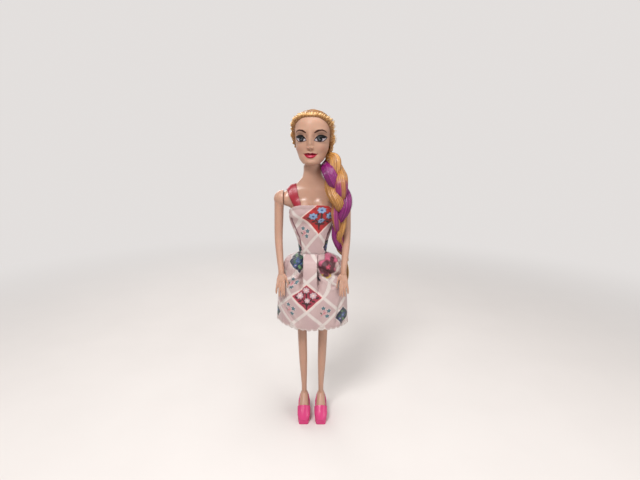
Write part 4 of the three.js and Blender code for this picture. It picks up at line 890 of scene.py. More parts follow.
fine_fibres, given = growing_tree("fine_fibres", [
    ("Radius", "NodeSocketFloat", 0.0001), ("Least Share", "NodeSocketFloat", 0.6),
    ("Sides", "NodeSocketInt", 4), ("Seed", "NodeSocketInt", 3),
])
lines = node(fine_fibres, "GeometryNodeMeshToCurve", {"Mesh": given.outputs["Lines"]})
place = node(fine_fibres, "GeometryNodeSplineParameter")
taper = maths(fine_fibres, "SINE", maths(fine_fibres, "MULTIPLY_ADD", place.outputs["Factor"], 2.5, 0.5))
number = node(fine_fibres, "GeometryNodeInputIndex")
uneven = node(fine_fibres, "FunctionNodeRandomValue", {
    "ID": number.outputs[0], "Seed": given.outputs["Seed"],
}, data_type="FLOAT")
fine_fibres.links.new(given.outputs["Least Share"], uneven.inputs[2])
each = node(fine_fibres, "GeometryNodeFieldOnDomain", {
    0: uneven.outputs[1],
}, data_type="FLOAT", domain="CURVE")
thickness = maths(fine_fibres, "MULTIPLY", taper, given.outputs["Radius"])
thickness = maths(fine_fibres, "MULTIPLY", thickness, each.outputs[0])
section = node(fine_fibres, "GeometryNodeCurvePrimitiveCircle", {
    "Resolution": given.outputs["Sides"], "Radius": 1.0,
})
tubes = node(fine_fibres, "GeometryNodeCurveToMesh", {
    "Curve": lines.outputs[0], "Profile Curve": section.outputs["Curve"], "Scale": thickness,
    "Fill Caps": True,
})
grown_out(fine_fibres, given, tubes.outputs[0])


def worked(made):
    """The plain mesh that a piece and its modifiers make."""
    bpy.context.view_layer.update()
    return bpy.data.meshes.new_from_object(made.evaluated_get(bpy.context.evaluated_depsgraph_get()))


def made_plain(rough, name):
    """A plain piece in place of a rough one with modifiers."""
    mesh = worked(rough)
    bpy.data.objects.remove(rough)
    mesh.name = name
    return placed(name, mesh)


def grown(name, tree, lines, values, material, **inputs):
    """A plain mesh that a tree makes along lines of points in millimetres."""
    points = np.concatenate(lines)
    starts = np.cumsum([0] + [len(line) for line in lines])
    edges = [(k, k + 1) for start, end in zip(starts[:-1], starts[1:]) for k in range(start, end - 1)]
    mesh = bpy.data.meshes.new(name + "_lines")
    mesh.from_pydata((points * MM).tolist(), edges, [])
    rough = placed(name + "_lines", mesh)
    for key, value in values.items():
        attribute(rough, key, value)
    modifier = rough.modifiers.new("grown", "NODES")
    modifier.node_group = tree
    given = {"Material": material, **{key.replace("_", " "): value for key, value in inputs.items()}}
    for socket in tree.interface.items_tree:
        if socket.in_out == "INPUT" and socket.name in given:
            modifier[socket.identifier] = given[socket.name]
    made = made_plain(rough, name)
    made.data.shade_smooth()
    return made


def loose_fibres(name, lines, dyes, material, **inputs):
    """Single fibres along lines of points, each point with its dye."""
    count = sum(len(line) for line in lines)
    values = {"dye_and_painted_light": colours(np.concatenate(dyes)), "along": random.random((count, 3)) * [1, 0.1, 0]}
    return grown(name, fine_fibres, lines, values, material, **inputs)


LOOP_BUNCHES = [  # degrees round from the middle of the forehead, how high it stands, how long it is
    (8, 1.2, 4), (22, 1.6, 4.5), (34, 2, 5), (44, 2.8, 5.5), (52, 3.2, 6), (60, 3.6, 6.5), (67, 3.4, 6),
    (74, 3.8, 6.5), (81, 3.6, 6), (88, 3.2, 6), (96, 2.6, 5.5), (-12, 1.2, 4), (-26, 1.5, 4.5),
    (-40, 1.8, 5), (-52, 2, 5), (-63, 2.2, 5), (-74, 2, 5), (-86, 1.8, 5),
]
LOOPS_IN_BUNCH, LOOP_POINTS, FLYAWAYS, FLYAWAY_POINTS = 5, 12, 170, 11


def on_hair(column, reach):
    """Places on the combed hair, and the ways out from it, at distances from the root along a flow line."""
    row = np.clip(np.interp(reach, run[:, column], np.arange(HAIR_ROWS)), 0, HAIR_ROWS * 0.86)
    low = row.astype(int)
    step = (row - low)[:, None] * (outer[low + 1, column] - outer[low, column])
    return outer[low, column] + step, towards[low, column]


lines, dyes = [], []
for degrees, height, length in LOOP_BUNCHES:
    for _ in range(LOOPS_IN_BUNCH):
        column = int((degrees + 1.7 * random.standard_normal() + 180) / 360 * HAIR_COLUMNS) % HAIR_COLUMNS
        share = np.linspace(0, 1, LOOP_POINTS)
        place, out_way = on_hair(column, 0.3 + length * (0.75 + 0.5 * random.random()) * share)
        lift = 0.45 * height * (0.5 + 0.7 * random.random()) * np.sin(np.pi * share ** 0.8)
        lines.append(place + (lift - 0.25)[:, None] * out_way)
        dyes.append(np.broadcast_to(HONEY + random.random() * (PALE_GOLD - HONEY), (LOOP_POINTS, 3)))
for _ in range(FLYAWAYS):
    column = random.integers(HAIR_COLUMNS)
    start, length = 2 + 22 * random.random(), 7 + 9 * random.random()
    share = np.linspace(0, 1, FLYAWAY_POINTS)
    place, out_way = on_hair(column, start + length * share)
    lift = (0.25 + 0.8 * random.random() ** 2) * share**1.6
    drift = 0.5 * random.standard_normal() * share[:, None] * unit(np.cross(out_way, [0.2, 0.3, 1]))
    lines.append(place + (lift - 0.12)[:, None] * out_way + drift)
    dyes.append(np.broadcast_to(AMBER + random.random() * (GOLD - AMBER), (FLYAWAY_POINTS, 3)))
lines = [head_turned(line) for line in lines]
piece = loose_fibres("scalp_loose_fibres", lines, dyes, scalp_fibre, Radius=0.1 * MM, Sides=4, Seed=5)
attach(piece, "head")


# Plait: three thick strands of blonde and magenta fibre, laid over each other down the left front.
# It is soft, and lies on the shoulder.
PLAIT_PERIOD, FIRST_LEFT_SHARE = 60, 0.09
SWING_SHARE, OVER_SHARE, WIDE_SHARE, DEEP_SHARE = 0.53, 0.34, 0.54, 0.42
STRAND_ROWS, STRAND_COLUMNS, STRAND_ENDS_AT = 280, 108, 0.985
STRAND_LOCKS, STRAND_GROOVES, STRAND_STREAKS, STRAND_FLYAWAYS, STREAKED_STRAND = 17, 40, 38, 52, 2
strand_fibre = fibre_finish("strand_fibre", 0.22, 620.0, 0.6)
MAGENTA, PLUM, ORCHID = (np.array(c, float) for c in ((158, 26, 128), (84, 10, 66), (184, 74, 134)))
STRAND_DYES = [(PLUM, MAGENTA), (AMBER, GOLD), (PLUM * 1.15, ORCHID)]
s = np.linspace(0, STRAND_ENDS_AT, STRAND_ROWS)
plait_middle, plait_size = plait_place(s)
down_plait = unit(np.gradient(plait_middle, axis=0))
sideways = unit(np.cross(down_plait, [0, -1, 0]))
forwards = np.cross(sideways, down_plait)
strand_turn = full_turn(STRAND_COLUMNS)
lines, dyes = [], []
for number, (deep_dye, light_dye) in enumerate(STRAND_DYES):
    phase = 2 * np.pi * (s - FIRST_LEFT_SHARE) * PLAIT_LENGTH / PLAIT_PERIOD
    phase = phase + np.pi / 2 - number * 2 * np.pi / 3
    laid = smoothstep(-0.02, 0.07, s)
    swing = (SWING_SHARE * laid * plait_size * np.sin(phase))[:, None] * sideways
    over = (-OVER_SHARE * plait_size * np.sin(2 * phase))[:, None] * forwards
    centre = plait_middle + swing + over
    along_strand = unit(np.gradient(centre, axis=0))
    wide = unit(np.cross(along_strand, forwards))
    deep = np.cross(wide, along_strand)
    radius = (plait_size * (0.35 + 0.65 * smoothstep(1.0, 0.9, s)) * (0.72 + 0.28 * laid))[:, None]
    grooves = 0.65 * ridges(STRAND_LOCKS, STRAND_COLUMNS, 0.7) + 0.35 * ridges(STRAND_GROOVES, STRAND_COLUMNS)
    grooves = 0.84 + 0.16 * grooves
    twist = strand_turn + 0.5 * np.sin(phase)[:, None]
    rings = centre[:, None] + (WIDE_SHARE * radius * grooves * np.cos(twist))[..., None] * wide[:, None]
    rings = rings + (DEEP_SHARE * radius * grooves * np.sin(twist))[..., None] * deep[:, None]
    rings = rings[::-1]
    piece = mesh_object(f"plait_strand_{number + 1}", *tube(rings), strand_fibre)
    tone = 0.7 * ridges(STRAND_STREAKS, STRAND_COLUMNS) + 0.3 * random.random(STRAND_COLUMNS)
    tone = tone[None, :, None]
    shade = deep_dye + tone * (light_dye - deep_dye)
    end_gold = AMBER + tone * (GOLD - AMBER)
    if number == STREAKED_STRAND:
        streak = smoothstep(0.55, 0.75, 0.5 + 0.5 * np.sin(3 * strand_turn + 1))[None, :, None]
        streak = np.maximum(0.85 * streak, smoothstep(0.3, 0.24, s)[::-1, None, None])
        shade = shade + streak * (end_gold - shade)
    shade = shade + smoothstep(0.86, 0.95, s)[::-1, None, None] * (end_gold - shade)
    attribute(piece, "dye_and_painted_light", colours(with_ends(shade)))
    attribute(piece, "along", with_ends(combed(STRAND_COLUMNS, s[::-1, None] * 4)))
    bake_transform(piece)
    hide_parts("plait")
    for _ in range(STRAND_FLYAWAYS):
        column, start = random.integers(STRAND_COLUMNS), random.integers(8, STRAND_ROWS - 60)
        share = np.linspace(0, 1, LOOP_POINTS)
        row = (start + share * random.integers(22, 50)).astype(int)
        outwards = unit(rings[row, column] - centre[::-1][row])
        lift = (0.25 + 1.3 * random.random() ** 2) * np.sin(np.pi * share * (0.5 + 0.5 * random.random()))
        lines.append(rings[row, column] + (lift - 0.1)[:, None] * outwards)
        dyes.append(shade[row, column])
piece = loose_fibres("plait_loose_fibres", lines, dyes, strand_fibre, Radius=0.11 * MM, Sides=4, Seed=6)
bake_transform(piece)


# Hair tie and tail: a small tan elastic wound round the end of the plait, and the loose ends below it.
# The loose ends bend back over the forearm and thin out.
elastic = moulded("elastic", (196, 152, 96), (158, 112, 62), 0.45, blotch_scale=300.0, depth=0.4)
tie_low, tie_high = cad_box("hair_tie")
tie_middle = (tie_low + tie_high) / 2
TIE_WINDS, TIE_CORD, POINTS_PER_WIND = 4, 0.42, 44
wind = np.linspace(0, 1, POINTS_PER_WIND * TIE_WINDS)
wind_radius = (tie_high[0] - tie_low[0]) / 2 - TIE_CORD
wind_height = tie_high[2] - tie_low[2] - 2 * TIE_CORD
turning = 2 * np.pi * TIE_WINDS * wind
path = tie_middle + np.stack([
    wind_radius * np.cos(turning), wind_radius * np.sin(turning), wind_height * (wind - 0.5),
], -1)
side_way = np.stack([np.cos(turning), np.sin(turning), 0 * turning], -1)
up_way = np.cross(unit(np.gradient(path, axis=0)), side_way)
turn = full_turn(14)
rings = path[:, None] + TIE_CORD * (
    np.cos(turn)[:, None] * side_way[:, None] - np.sin(turn)[:, None] * up_way[:, None]
)
piece = mesh_object("elastic_winds", *tube(rings), elastic)
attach(piece, "torso")
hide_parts("hair_tie")

TAIL_SHARES = [  # share of its length, half width, and how far out and back it bends, as shares of its radius
    (-0.06, 0.8, 0, 0), (0, 0.85, 0, 0.04), (0.3, 1, 0.25, 0.7), (0.7, 0.8, 0.4, 1.6), (1, 0.3, 0.45, 2.1),
]
TAIL_RADIUS, TAIL_CORE_SHARE, TAIL_ROWS, TAIL_COLUMNS, TAIL_LOCKS, LOCK_POINTS = 2.6, 0.62, 90, 72, 46, 14
tail_low, tail_high = cad_box("plait_tail")
tail_length = tail_high[2] - tail_low[2]


def tail_place(share):
    """Middle of the tail and its half width at shares of its length."""
    size, out_share, rear = through(TAIL_SHARES, share).T
    middle = np.stack([
        tie_middle[0] + out_share * TAIL_RADIUS, tie_middle[1] + rear * TAIL_RADIUS,
        tail_high[2] + 1 - share * tail_length,
    ], -1)
    return middle, size * TAIL_RADIUS


s = np.linspace(0, 1, TAIL_ROWS)
middle, size = tail_place(s)
turn = full_turn(TAIL_COLUMNS)
radius = (size * TAIL_CORE_SHARE)[:, None] * (0.78 + 0.22 * ridges(15, TAIL_COLUMNS, 0.7))
rings = middle[:, None] + radius[..., None] * np.stack([np.cos(turn), np.sin(turn), 0 * turn], -1)
rings = rings[::-1]
piece = mesh_object("tail_fibres", *tube(rings), strand_fibre)
tone = ridges(30, TAIL_COLUMNS)[None, :, None] + 0 * s[:, None, None]
attribute(piece, "dye_and_painted_light", colours(with_ends(AMBER + tone * (GOLD - AMBER))))
attribute(piece, "along", with_ends(combed(TAIL_COLUMNS, s[::-1, None] * 2)))
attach(piece, "torso")
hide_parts("plait_tail")

lines, dyes = [], []
for _ in range(TAIL_LOCKS):
    share = np.linspace(0, 0.75 + 0.25 * random.random(), LOCK_POINTS)
    middle, size = tail_place(share)
    angle, out_to = 2 * np.pi * random.random(), 0.45 + 0.55 * random.random()
    flare = size * (0.55 + out_to * (share - 0.25 * share**3))
    lines.append(middle + flare[:, None] * np.array([np.cos(angle), np.sin(angle), 0]))
    dyes.append(np.broadcast_to(AMBER + random.random() * (PALE_GOLD - AMBER), (LOCK_POINTS, 3)))
piece = loose_fibres("tail_loose_locks", lines, dyes, strand_fibre, Radius=0.3 * MM, Sides=6, Seed=8)
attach(piece, "torso")


# Arms: one moulding each of soft vinyl, from a round shoulder to a relaxed hand.
# The back of the hand faces front, the fingers are parted and the thumb lies towards the body.
def joined(name, parts, material, voxel, rounds):
    """One skin over overlapping closed parts, smoothed where they meet."""
    points, faces = [], []
    for own, sides in parts:
        faces += [[corner + sum(len(p) for p in points) for corner in face] for face in sides]
        points.append(own)
    rough = mesh_object(name + "_rough", np.vstack(points), faces, material)
    remesh = rough.modifiers.new("skin", "REMESH")
    remesh.mode = "VOXEL"
    remesh.voxel_size = voxel * MM
    remesh.use_smooth_shade = True
    soften = rough.modifiers.new("soften", "SMOOTH")
    soften.factor, soften.iterations = 0.5, rounds
    return made_plain(rough, name)


def tapered(places, radii, columns, flat=1.0):
    """A round-ended tube through places, with its own half width at each, flattened from front to back."""
    places, radii = np.array(places, float), np.array(radii, float)
    steps = np.linspace(0, len(places) - 1, 8 * len(places))
    index = np.arange(len(places))
    path = through(np.column_stack([index, places]), steps)
    size = through(np.column_stack([index, radii]), steps)
    tangent = unit(np.gradient(path, axis=0))
    side = unit(np.cross(tangent, [0, -1, 0]))
    face_way = np.cross(side, tangent)
    cap = np.linspace(0, 1, 7)[1:-1, None]
    start, end = tangent[0] * size[0], tangent[-1] * size[-1]
    path = np.vstack([
        path[0] - start * np.sqrt(1 - cap**2), path, path[-1] + end * np.sqrt(1 - cap[::-1] ** 2),
    ])
    size = np.vstack([size[0] * cap, size, size[-1] * cap[::-1]])
    side, face_way = (np.pad(way, ((len(cap), len(cap)), (0, 0)), mode="edge") for way in (side, face_way))
    turn = full_turn(columns)
    across = side[:, None] * np.cos(turn)[:, None] + flat * face_way[:, None] * np.sin(turn)[:, None]
    return tube(path[:, None] + size[:, None] * across)


ARM_COLUMNS, ARM_ROWS = 96, 150
ARM_FACE = SHOULDER[0] + 0.05
CAP_RADII = (8.6, 7.0, 7.6)
WRIST = np.array([27.2, -13.6, 150])
HAND_LENGTH, PALM_LENGTH, PALM_HALF_WIDTH = 21, 9.6, 3.9
arm_tree = solid_tree("left_arm")
arm_middle = [  # height, place across, place in depth
    (WRIST[2] - 2, 27.2, -14), (WRIST[2], 27.2, -13.6), (164, 28.6, -8), (178, 30.1, -2.6), (198, 30.4, -0.4),
    (214, 29.6, 0), (218, 28.6, 0),
]
heights = np.linspace(WRIST[2] - 0.4, SHOULDER[2] + 1, ARM_ROWS)
LIMB_RAY_START = 30
rings = around(arm_tree, heights, arm_middle, ARM_COLUMNS, (4, 4), far=LIMB_RAY_START)
rings[..., 0] = np.maximum(rings[..., 0], ARM_FACE)
cap = ball(SHOULDER, CAP_RADII, 60, 96)
cap[..., 0] = np.maximum(cap[..., 0], ARM_FACE)
arm_skin, arm_cap = tube(rings), tube(cap)
heading, hand_front = unit(np.array([[0, -0.33, -1], [0, -1, 0.33]]))


def on_hand(along, across, forward):
    """A place on the left hand, from the wrist: along it, away from the body and to the front."""
    return WRIST + heading * along + hand_front * forward + np.array([across, 0, 0])


palm = [
    tapered([
        on_hand(-5, 0, 0), on_hand(-1, 0, 0), on_hand(3, 0.1, 0.1), on_hand(6.4, 0.2, 0.1),
    ], [2.35, 2.4, 2.7, 2.9], columns=32, flat=0.62),
    tapered([
        on_hand(2, 0.2, 0), on_hand(5.4, 0.3, 0.1), on_hand(PALM_LENGTH - 1.6, 0.4, 0),
    ], [2.9, PALM_HALF_WIDTH - 0.3, PALM_HALF_WIDTH - 0.2], columns=32, flat=0.36),
]
FINGERS = [  # place across as a share of the palm's half width, length as a share, how far it fans, bend
    (-0.66, 0.92, -0.2, 0.5), (-0.2, 1, 0.05, 0.9), (0.3, 0.96, 0.55, 1.3), (0.8, 0.74, 1.4, 1.7),
]
FINGER_RADII = [1.05, 1.08, 0.98, 0.94, 0.82, 0.58]
NAIL_RADII = (0.5, 0.2, 0.8)
fingers = []
for across_share, long, fan, bend in FINGERS:
    length = (HAND_LENGTH - PALM_LENGTH) * long
    side = across_share * PALM_HALF_WIDTH
    fingers.append(tapered([
        on_hand(PALM_LENGTH - 4, side * 0.8, 0.15), on_hand(PALM_LENGTH - 0.5, side, 0.45),
        on_hand(PALM_LENGTH + length * 0.3, side + fan * 0.35, 0.35),
        on_hand(PALM_LENGTH + length * 0.55, side + fan * 0.6, -0.1 * bend),
        on_hand(PALM_LENGTH + length * 0.8, side + fan * 0.75, -0.65 * bend),
        on_hand(PALM_LENGTH + length - 0.5, side + fan * 0.8, -1.25 * bend),
    ], FINGER_RADII, 18))
    nail = ball((0, 0, 0), NAIL_RADII, 12, 14)
    nail_place = on_hand(PALM_LENGTH + length * 0.93, side + fan * 0.79, 0.55 - 1.05 * bend)
    fingers.append(tube(nail + nail_place))
thumb = tapered([
    on_hand(0.2, -0.8, -0.2), on_hand(3, -3, -0.4), on_hand(5.6, -4.9, -0.6), on_hand(8.4, -5.7, -0.5),
    on_hand(10.8, -5.8, -0.8), on_hand(12.4, -5.5, -1.3),
], [1.4, 1.6, 1.2, 1.05, 1.0, 0.72], 20)
arm_parts = [arm_skin, arm_cap, *palm, *fingers, thumb]
left_arm = joined("left_arm_moulding", arm_parts, soft_skin, voxel=0.24, rounds=7)


def mirrored(piece, name):
    """The same piece for the other side, with its faces turned out again."""
    mesh = piece.data.copy()
    mesh.name = name
    mesh.transform(Matrix.Scale(-1, 4, (1, 0, 0)))
    mesh.flip_normals()
    return placed(name, mesh)


def on_both_sides(left, part):
    """A left part and its mirror image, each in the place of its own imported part."""
    for side, piece in (("left", left), ("right", mirrored(left, f"right_{part}_moulding"))):
        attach(piece, f"{side}_{part}")
        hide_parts(f"{side}_{part}")


on_both_sides(left_arm, "arm")


# Legs: one moulding each of soft vinyl, slim, with a soft knee and a foot arched for a high heel.
# Its round top turns in the side of the trunk on the hip axle.
leg_low, leg_high = cad_box("left_leg")
leg_tree = solid_tree("left_leg")
leg_middle = [  # height, place across, place in depth
    (20, 8.2, 3.2), (34, 8.3, 2.4), (56, 9, 1), (74, 9.4, 0), (100, 10, 0), (130, 10.6, 0), (157, 11, 0),
]
LEG_ROWS, LEG_COLUMNS, ANKLE_Z = 300, 100, 23
KNEE_Z, KNEE_REACH, KNEE_PROUD = 74, 4, 0.4
heights = np.linspace(ANKLE_Z, leg_high[2] - 0.15, LEG_ROWS)
rings = around(leg_tree, heights, leg_middle, LEG_COLUMNS, (4, 3.4), far=LIMB_RAY_START)
rings[..., 0] = np.maximum(rings[..., 0], leg_low[0] + 0.02)
knee = bell(rings[..., 2] - KNEE_Z, KNEE_REACH) * smoothstep(0, -4, rings[..., 1])
rings[..., 1] -= KNEE_PROUD * knee
leg_skin = tube(rings)
FOOT_SHARES = [  # share of its length, then half width, thickness above and below as shares of its sizes
    (0, 0.3, 0.3, 0.4), (0.05, 0.56, 0.7, 0.84), (0.16, 0.76, 1.05, 1.08), (0.34, 0.84, 1.05, 0.98),
    (0.54, 0.93, 0.86, 0.82), (0.7, 1, 0.7, 0.68), (0.86, 0.93, 0.52, 0.5), (0.95, 0.72, 0.36, 0.34),
    (1, 0.34, 0.18, 0.16),
]
FOOT_LENGTH, FOOT_HALF_WIDTH, FOOT_THICKNESS = 29, 4.9, 3.8
ANKLE, HEEL_SHARE, FOOT_ROWS, FOOT_COLUMNS = np.array([8.2, 3, 20]), 0.17, 80, 64
FOOT_SLOPE = math.radians(42)
foot_along = np.array([0, -math.cos(FOOT_SLOPE), -math.sin(FOOT_SLOPE)])
foot_up = np.array([0, -math.sin(FOOT_SLOPE), math.cos(FOOT_SLOPE)])
foot_start = ANKLE - HEEL_SHARE * FOOT_LENGTH * foot_along
s = np.linspace(0, 1, FOOT_ROWS)
wide, top, low = through(FOOT_SHARES, s).T
turn = full_turn(FOOT_COLUMNS)
deep = np.where(np.sin(turn) > 0, top[:, None], low[:, None]) * FOOT_THICKNESS
foot = (foot_start + s[:, None] * FOOT_LENGTH * foot_along)[:, None]
foot = foot + (wide[:, None] * FOOT_HALF_WIDTH * np.cos(turn))[..., None] * np.array([1, 0, 0])
foot = foot + (deep * np.sin(turn))[..., None] * foot_up
left_leg = joined("left_leg_moulding", [leg_skin, tube(foot[::-1])], soft_skin, voxel=0.34, rounds=6)
on_both_sides(left_leg, "leg")


# Shoes: slip-on mules moulded in one piece of glossy pink plastic, with a closed toe and a high heel.
# They are a push fit on the foot.
shoe_plastic = moulded("shoe_plastic", (214, 66, 126), (196, 48, 108), 0.2, blotch_scale=90.0, depth=0.06)
shoe_node = frame["nodes"]["left_shoe"].data
shoe_part = (
    np.array([vertex.co / MM for vertex in shoe_node.vertices]),
    [list(face.vertices) for face in shoe_node.polygons],
)
left_shoe = joined("left_shoe_moulding", [shoe_part], shoe_plastic, voxel=0.27, rounds=16)
on_both_sides(left_shoe, "shoe")


# Bodice: a fitted tube of thin printed satin, open down the middle of the back.
# It is cut in shaped panels with a turned hem, and stands straight across the hollows of the body.
WAIST_Z = 166.2
TOP_FRONT_Z, TOP_SLOPE, TOP_FRONT_Y = 210.6, 0.2308, -17.2
BUST_MIDDLE, BUST_BRIDGE = (0, -6.3, 203.5), (13.4, 8.6, 9)
CLOSURE_HALF_GAP, BODICE_COLUMNS, BODICE_ROWS = 3.4, 272, 112
FORM_FOOT, FORM_TOP, FORM_ROW, FORM_COLUMNS = 160, 216, 0.5, 360
upright = [(0, 0, 0), (300, 0, 0)]
dress_tree = solid_tree("torso_front", "torso_back", tube(ball(BUST_MIDDLE, BUST_BRIDGE)))
form_heights = np.arange(FORM_FOOT, FORM_TOP, FORM_ROW)
form = around(dress_tree, form_heights, upright, FORM_COLUMNS, (4, 5))
form_reach = np.linalg.norm(form[..., :2], axis=-1)
loose_heights = np.clip(form_heights, WAIST_Z + 0.6, TOP_FRONT_Z - 7)
loose = around(solid_tree("bodice"), loose_heights, upright, FORM_COLUMNS, (3, 3))
loose_reach = np.linalg.norm(loose[..., :2], axis=-1)


def drawn_tight(reach):
    """A ring of distances from the middle, pulled straight across its hollows."""
    turn = full_turn(len(reach))
    points = np.stack([reach * np.cos(turn), reach * np.sin(turn)], -1)
    order = sorted(range(len(points)), key=lambda i: tuple(points[i]))
    hull = []
    for walk in (order, order[::-1]):
        chain = []
        for i in walk:
            while len(chain) > 1:
                a, b = points[chain[-1]] - points[chain[-2]], points[i] - points[chain[-2]]
                if a[0] * b[1] - a[1] * b[0] > 0:
                    break
                chain.pop()
            chain.append(i)
        hull += chain[:-1]
    corners = points[hull]
    angle = np.arctan2(corners[:, 1], corners[:, 0])
    order = np.argsort(angle)
    corners, angle = corners[order], angle[order]
    wrapped = np.mod(turn + np.pi, 2 * np.pi) - np.pi
    right = np.searchsorted(angle, wrapped) % len(corners)
    a, b = corners[right - 1], corners[right]
    way = b - a
    direction = np.stack([np.cos(turn), np.sin(turn)], -1)
    cross = direction[:, 0] * way[:, 1] - direction[:, 1] * way[:, 0]
    return (a[:, 0] * way[:, 1] - a[:, 1] * way[:, 0]) / np.where(np.abs(cross) < 1e-9, 1e-9, cross)


CLOTH_GAP, CLOTH_THICKNESS = 0.4, 0.5
tight = np.array([np.maximum(drawn_tight(row), row) for row in form_reach])
tight = np.maximum(blurred(tight, 4, 4), blurred(loose_reach - CLOTH_GAP - CLOTH_THICKNESS, 3, 4))


def on_form(turns, heights):
    """How far out the drawn-tight dress form lies, at turns from the left side and at heights."""
    row = np.clip((heights - form_heights[0]) / FORM_ROW, 0, len(form_heights) - 1.001)
    column = np.mod(turns / (2 * np.pi) * FORM_COLUMNS, FORM_COLUMNS)
    low, left = row.astype(int), column.astype(int)
    up_share, right_share = row - low, column - left
    right = (left + 1) % FORM_COLUMNS
    reach = (tight[low, left] * (1 - right_share) + tight[low, right] * right_share) * (1 - up_share)
    higher = tight[low + 1, left] * (1 - right_share) + tight[low + 1, right] * right_share
    return reach + higher * up_share


BUST_Z, TOP_DIP, TOP_DIP_PLACE, TOP_DIP_WIDTH = 207.0, 2.6, 0.5, 0.13
u = np.linspace(-1, 1, BODICE_COLUMNS)
up = np.linspace(0, 1, BODICE_ROWS)[:, None]
turns = -0.5 * np.pi + u * np.pi
reach = on_form(turns, np.full(BODICE_COLUMNS, BUST_Z))
top_line = TOP_FRONT_Z - TOP_SLOPE * (reach * np.sin(turns) - TOP_FRONT_Y)
top_line -= TOP_DIP * bell(np.abs(u) - TOP_DIP_PLACE, TOP_DIP_WIDTH)
heights = WAIST_Z + up * (top_line - WAIST_Z)
opening = np.arcsin(CLOSURE_HALF_GAP / on_form(np.full(heights.shape, 0.5 * np.pi), heights))
turns = -0.5 * np.pi + u * (np.pi - opening)
reach = on_form(turns, heights) + CLOTH_GAP + CLOTH_THICKNESS
DARTS = [  # places across and up of each dart's line, on the front
    [(-15.6, 198), (-13.4, 190), (-11.2, 180), (-10, 170)],
    [(16.4, 196), (14.2, 188), (12, 179), (10.6, 170)],
]
PULLS = [  # soft pulls of the cloth: places across and up, height and width of each
    ([(-9, 168), (-4, 176), (2, 186)], 0.35, 2.0), ([(10, 168), (7, 176), (3, 184)], 0.3, 1.8),
    ([(-18, 199), (-10, 203), (-4, 204)], 0.3, 2.2), ([(-12, 184), (-5, 189), (0, 190)], 0.25, 1.6),
    ([(12, 178), (8, 186), (7, 192)], 0.25, 1.5), ([(-1, 167), (0, 174), (-1, 181)], 0.3, 1.7),
]
HEM_DEPTH, HEM_STEP, SEAM_ALLOWANCE, SEAM_DIP = 2.6, 0.22, 1.1, 0.25
DART_DARK_LINE_WIDTH = 0.5
DART_DEPTH, DART_WIDTH, DART_EDGE_RISE, DART_EDGE_AWAY, DART_EDGE_WIDTH = 1.1, 0.55, 0.45, 1.4, 0.7
across_up = np.stack([reach * np.cos(turns), heights], -1)
facing = np.sin(turns) < 0
reach = reach + HEM_STEP * smoothstep(HEM_DEPTH + 0.25, HEM_DEPTH - 0.15, top_line - heights)
for dart in DARTS:
    away = from_line(across_up, dart)
    puffed = DART_EDGE_RISE * bell(away - DART_EDGE_AWAY, DART_EDGE_WIDTH)
    reach -= facing * (DART_DEPTH * bell(away, DART_WIDTH) - puffed)
RIGHT_SLACK, LEFT_SLACK, SLACK_HEIGHT, SLACK_REACH = 3.4, 2.3, 196, 11
at_sides = RIGHT_SLACK * smoothstep(-0.55, -1, np.cos(turns))
at_sides = at_sides + LEFT_SLACK * smoothstep(0.55, 1, np.cos(turns))
reach += at_sides * bell(heights - SLACK_HEIGHT, SLACK_REACH)
for line, height, width in PULLS:
    reach += facing * height * near_line(across_up, line, width)
RIPPLE_DEPTH = 0.12
reach += RIPPLE_DEPTH * np.sin(9 * turns + 0.3 * heights) * np.sin(0.55 * heights + 3 * turns)
reach -= SEAM_DIP * smoothstep(WAIST_Z + 1.2, WAIST_Z, heights)
heights = heights - SEAM_ALLOWANCE * (1 - up) ** 6
bodice = np.stack([reach * np.cos(turns), reach * np.sin(turns), heights], -1)


def sheet_faces(rows, columns):
    """Faces over a grid of points, seen from outside with its rows going up and its columns to the right."""
    k, i = np.meshgrid(np.arange(rows - 1), np.arange(columns - 1), indexing="ij")
    corner = k * columns + i
    return np.stack([corner, corner + 1, corner + columns + 1, corner + columns], -1).reshape(-1, 4).tolist()


def cloth(name, points, material, thickness, **values):
    """A cut piece from a grid of points, with its thickness inwards and its values at each point."""
    made = mesh_object(name, points.reshape(-1, 3), sheet_faces(*points.shape[:2]), material)
    for key, value in values.items():
        attribute(made, key, value.reshape(-1, value.shape[-1]))
    wall = made.modifiers.new("wall", "SOLIDIFY")
    wall.thickness = thickness * MM
    wall.offset = -1
    wall.use_even_offset = False
    mesh = worked(made)
    made.modifiers.clear()
    made.data = mesh
    mesh.name = made.name
    return made


GROUND, BAND = (188, 162, 159), (209, 200, 194)
CELL_WIDTH, BAND_HALF_WIDTH, INK_SOFTNESS = 27.0, 1.4, 0.03
PRINT = {
    "ground_shade": (176, 148, 149), "band": BAND, "crimson": (172, 26, 26), "berry": (158, 44, 66),
    "sky": (132, 158, 192), "mist": (196, 168, 172), "slate": (66, 96, 108), "heart": (92, 134, 128),
    "stem": (188, 92, 106), "twig": (38, 12, 14), "leaf": (44, 78, 56), "moss": (84, 118, 74),
    "navy": (24, 26, 50), "dusk": (58, 76, 122), "rose": (186, 84, 114), "maroon": (70, 14, 28),
    "yellow": (188, 160, 66), "edge": (232, 196, 184),
}


def lay(colour, mask, name):
    """Ink printed over what is there."""
    return colour + mask[..., None] * (np.array(PRINT[name], float) - colour)


def diamond(u, v, cu, cv, half_u, half_v):
    """1 inside a diamond."""
    away = np.abs(u - cu) / half_u + np.abs(v - cv) / half_v
    return 1 - smoothstep(1 - INK_SOFTNESS, 1 + INK_SOFTNESS, away)


def oval(u, v, cu, cv, long, wide, turn):
    """1 inside an oval whose long way lies at an angle."""
    along = (u - cu) * math.cos(turn) + (v - cv) * math.sin(turn)
    beside = (v - cv) * math.cos(turn) - (u - cu) * math.sin(turn)
    return 1 - smoothstep(0.85, 1.1, np.hypot(along / long, beside / wide))


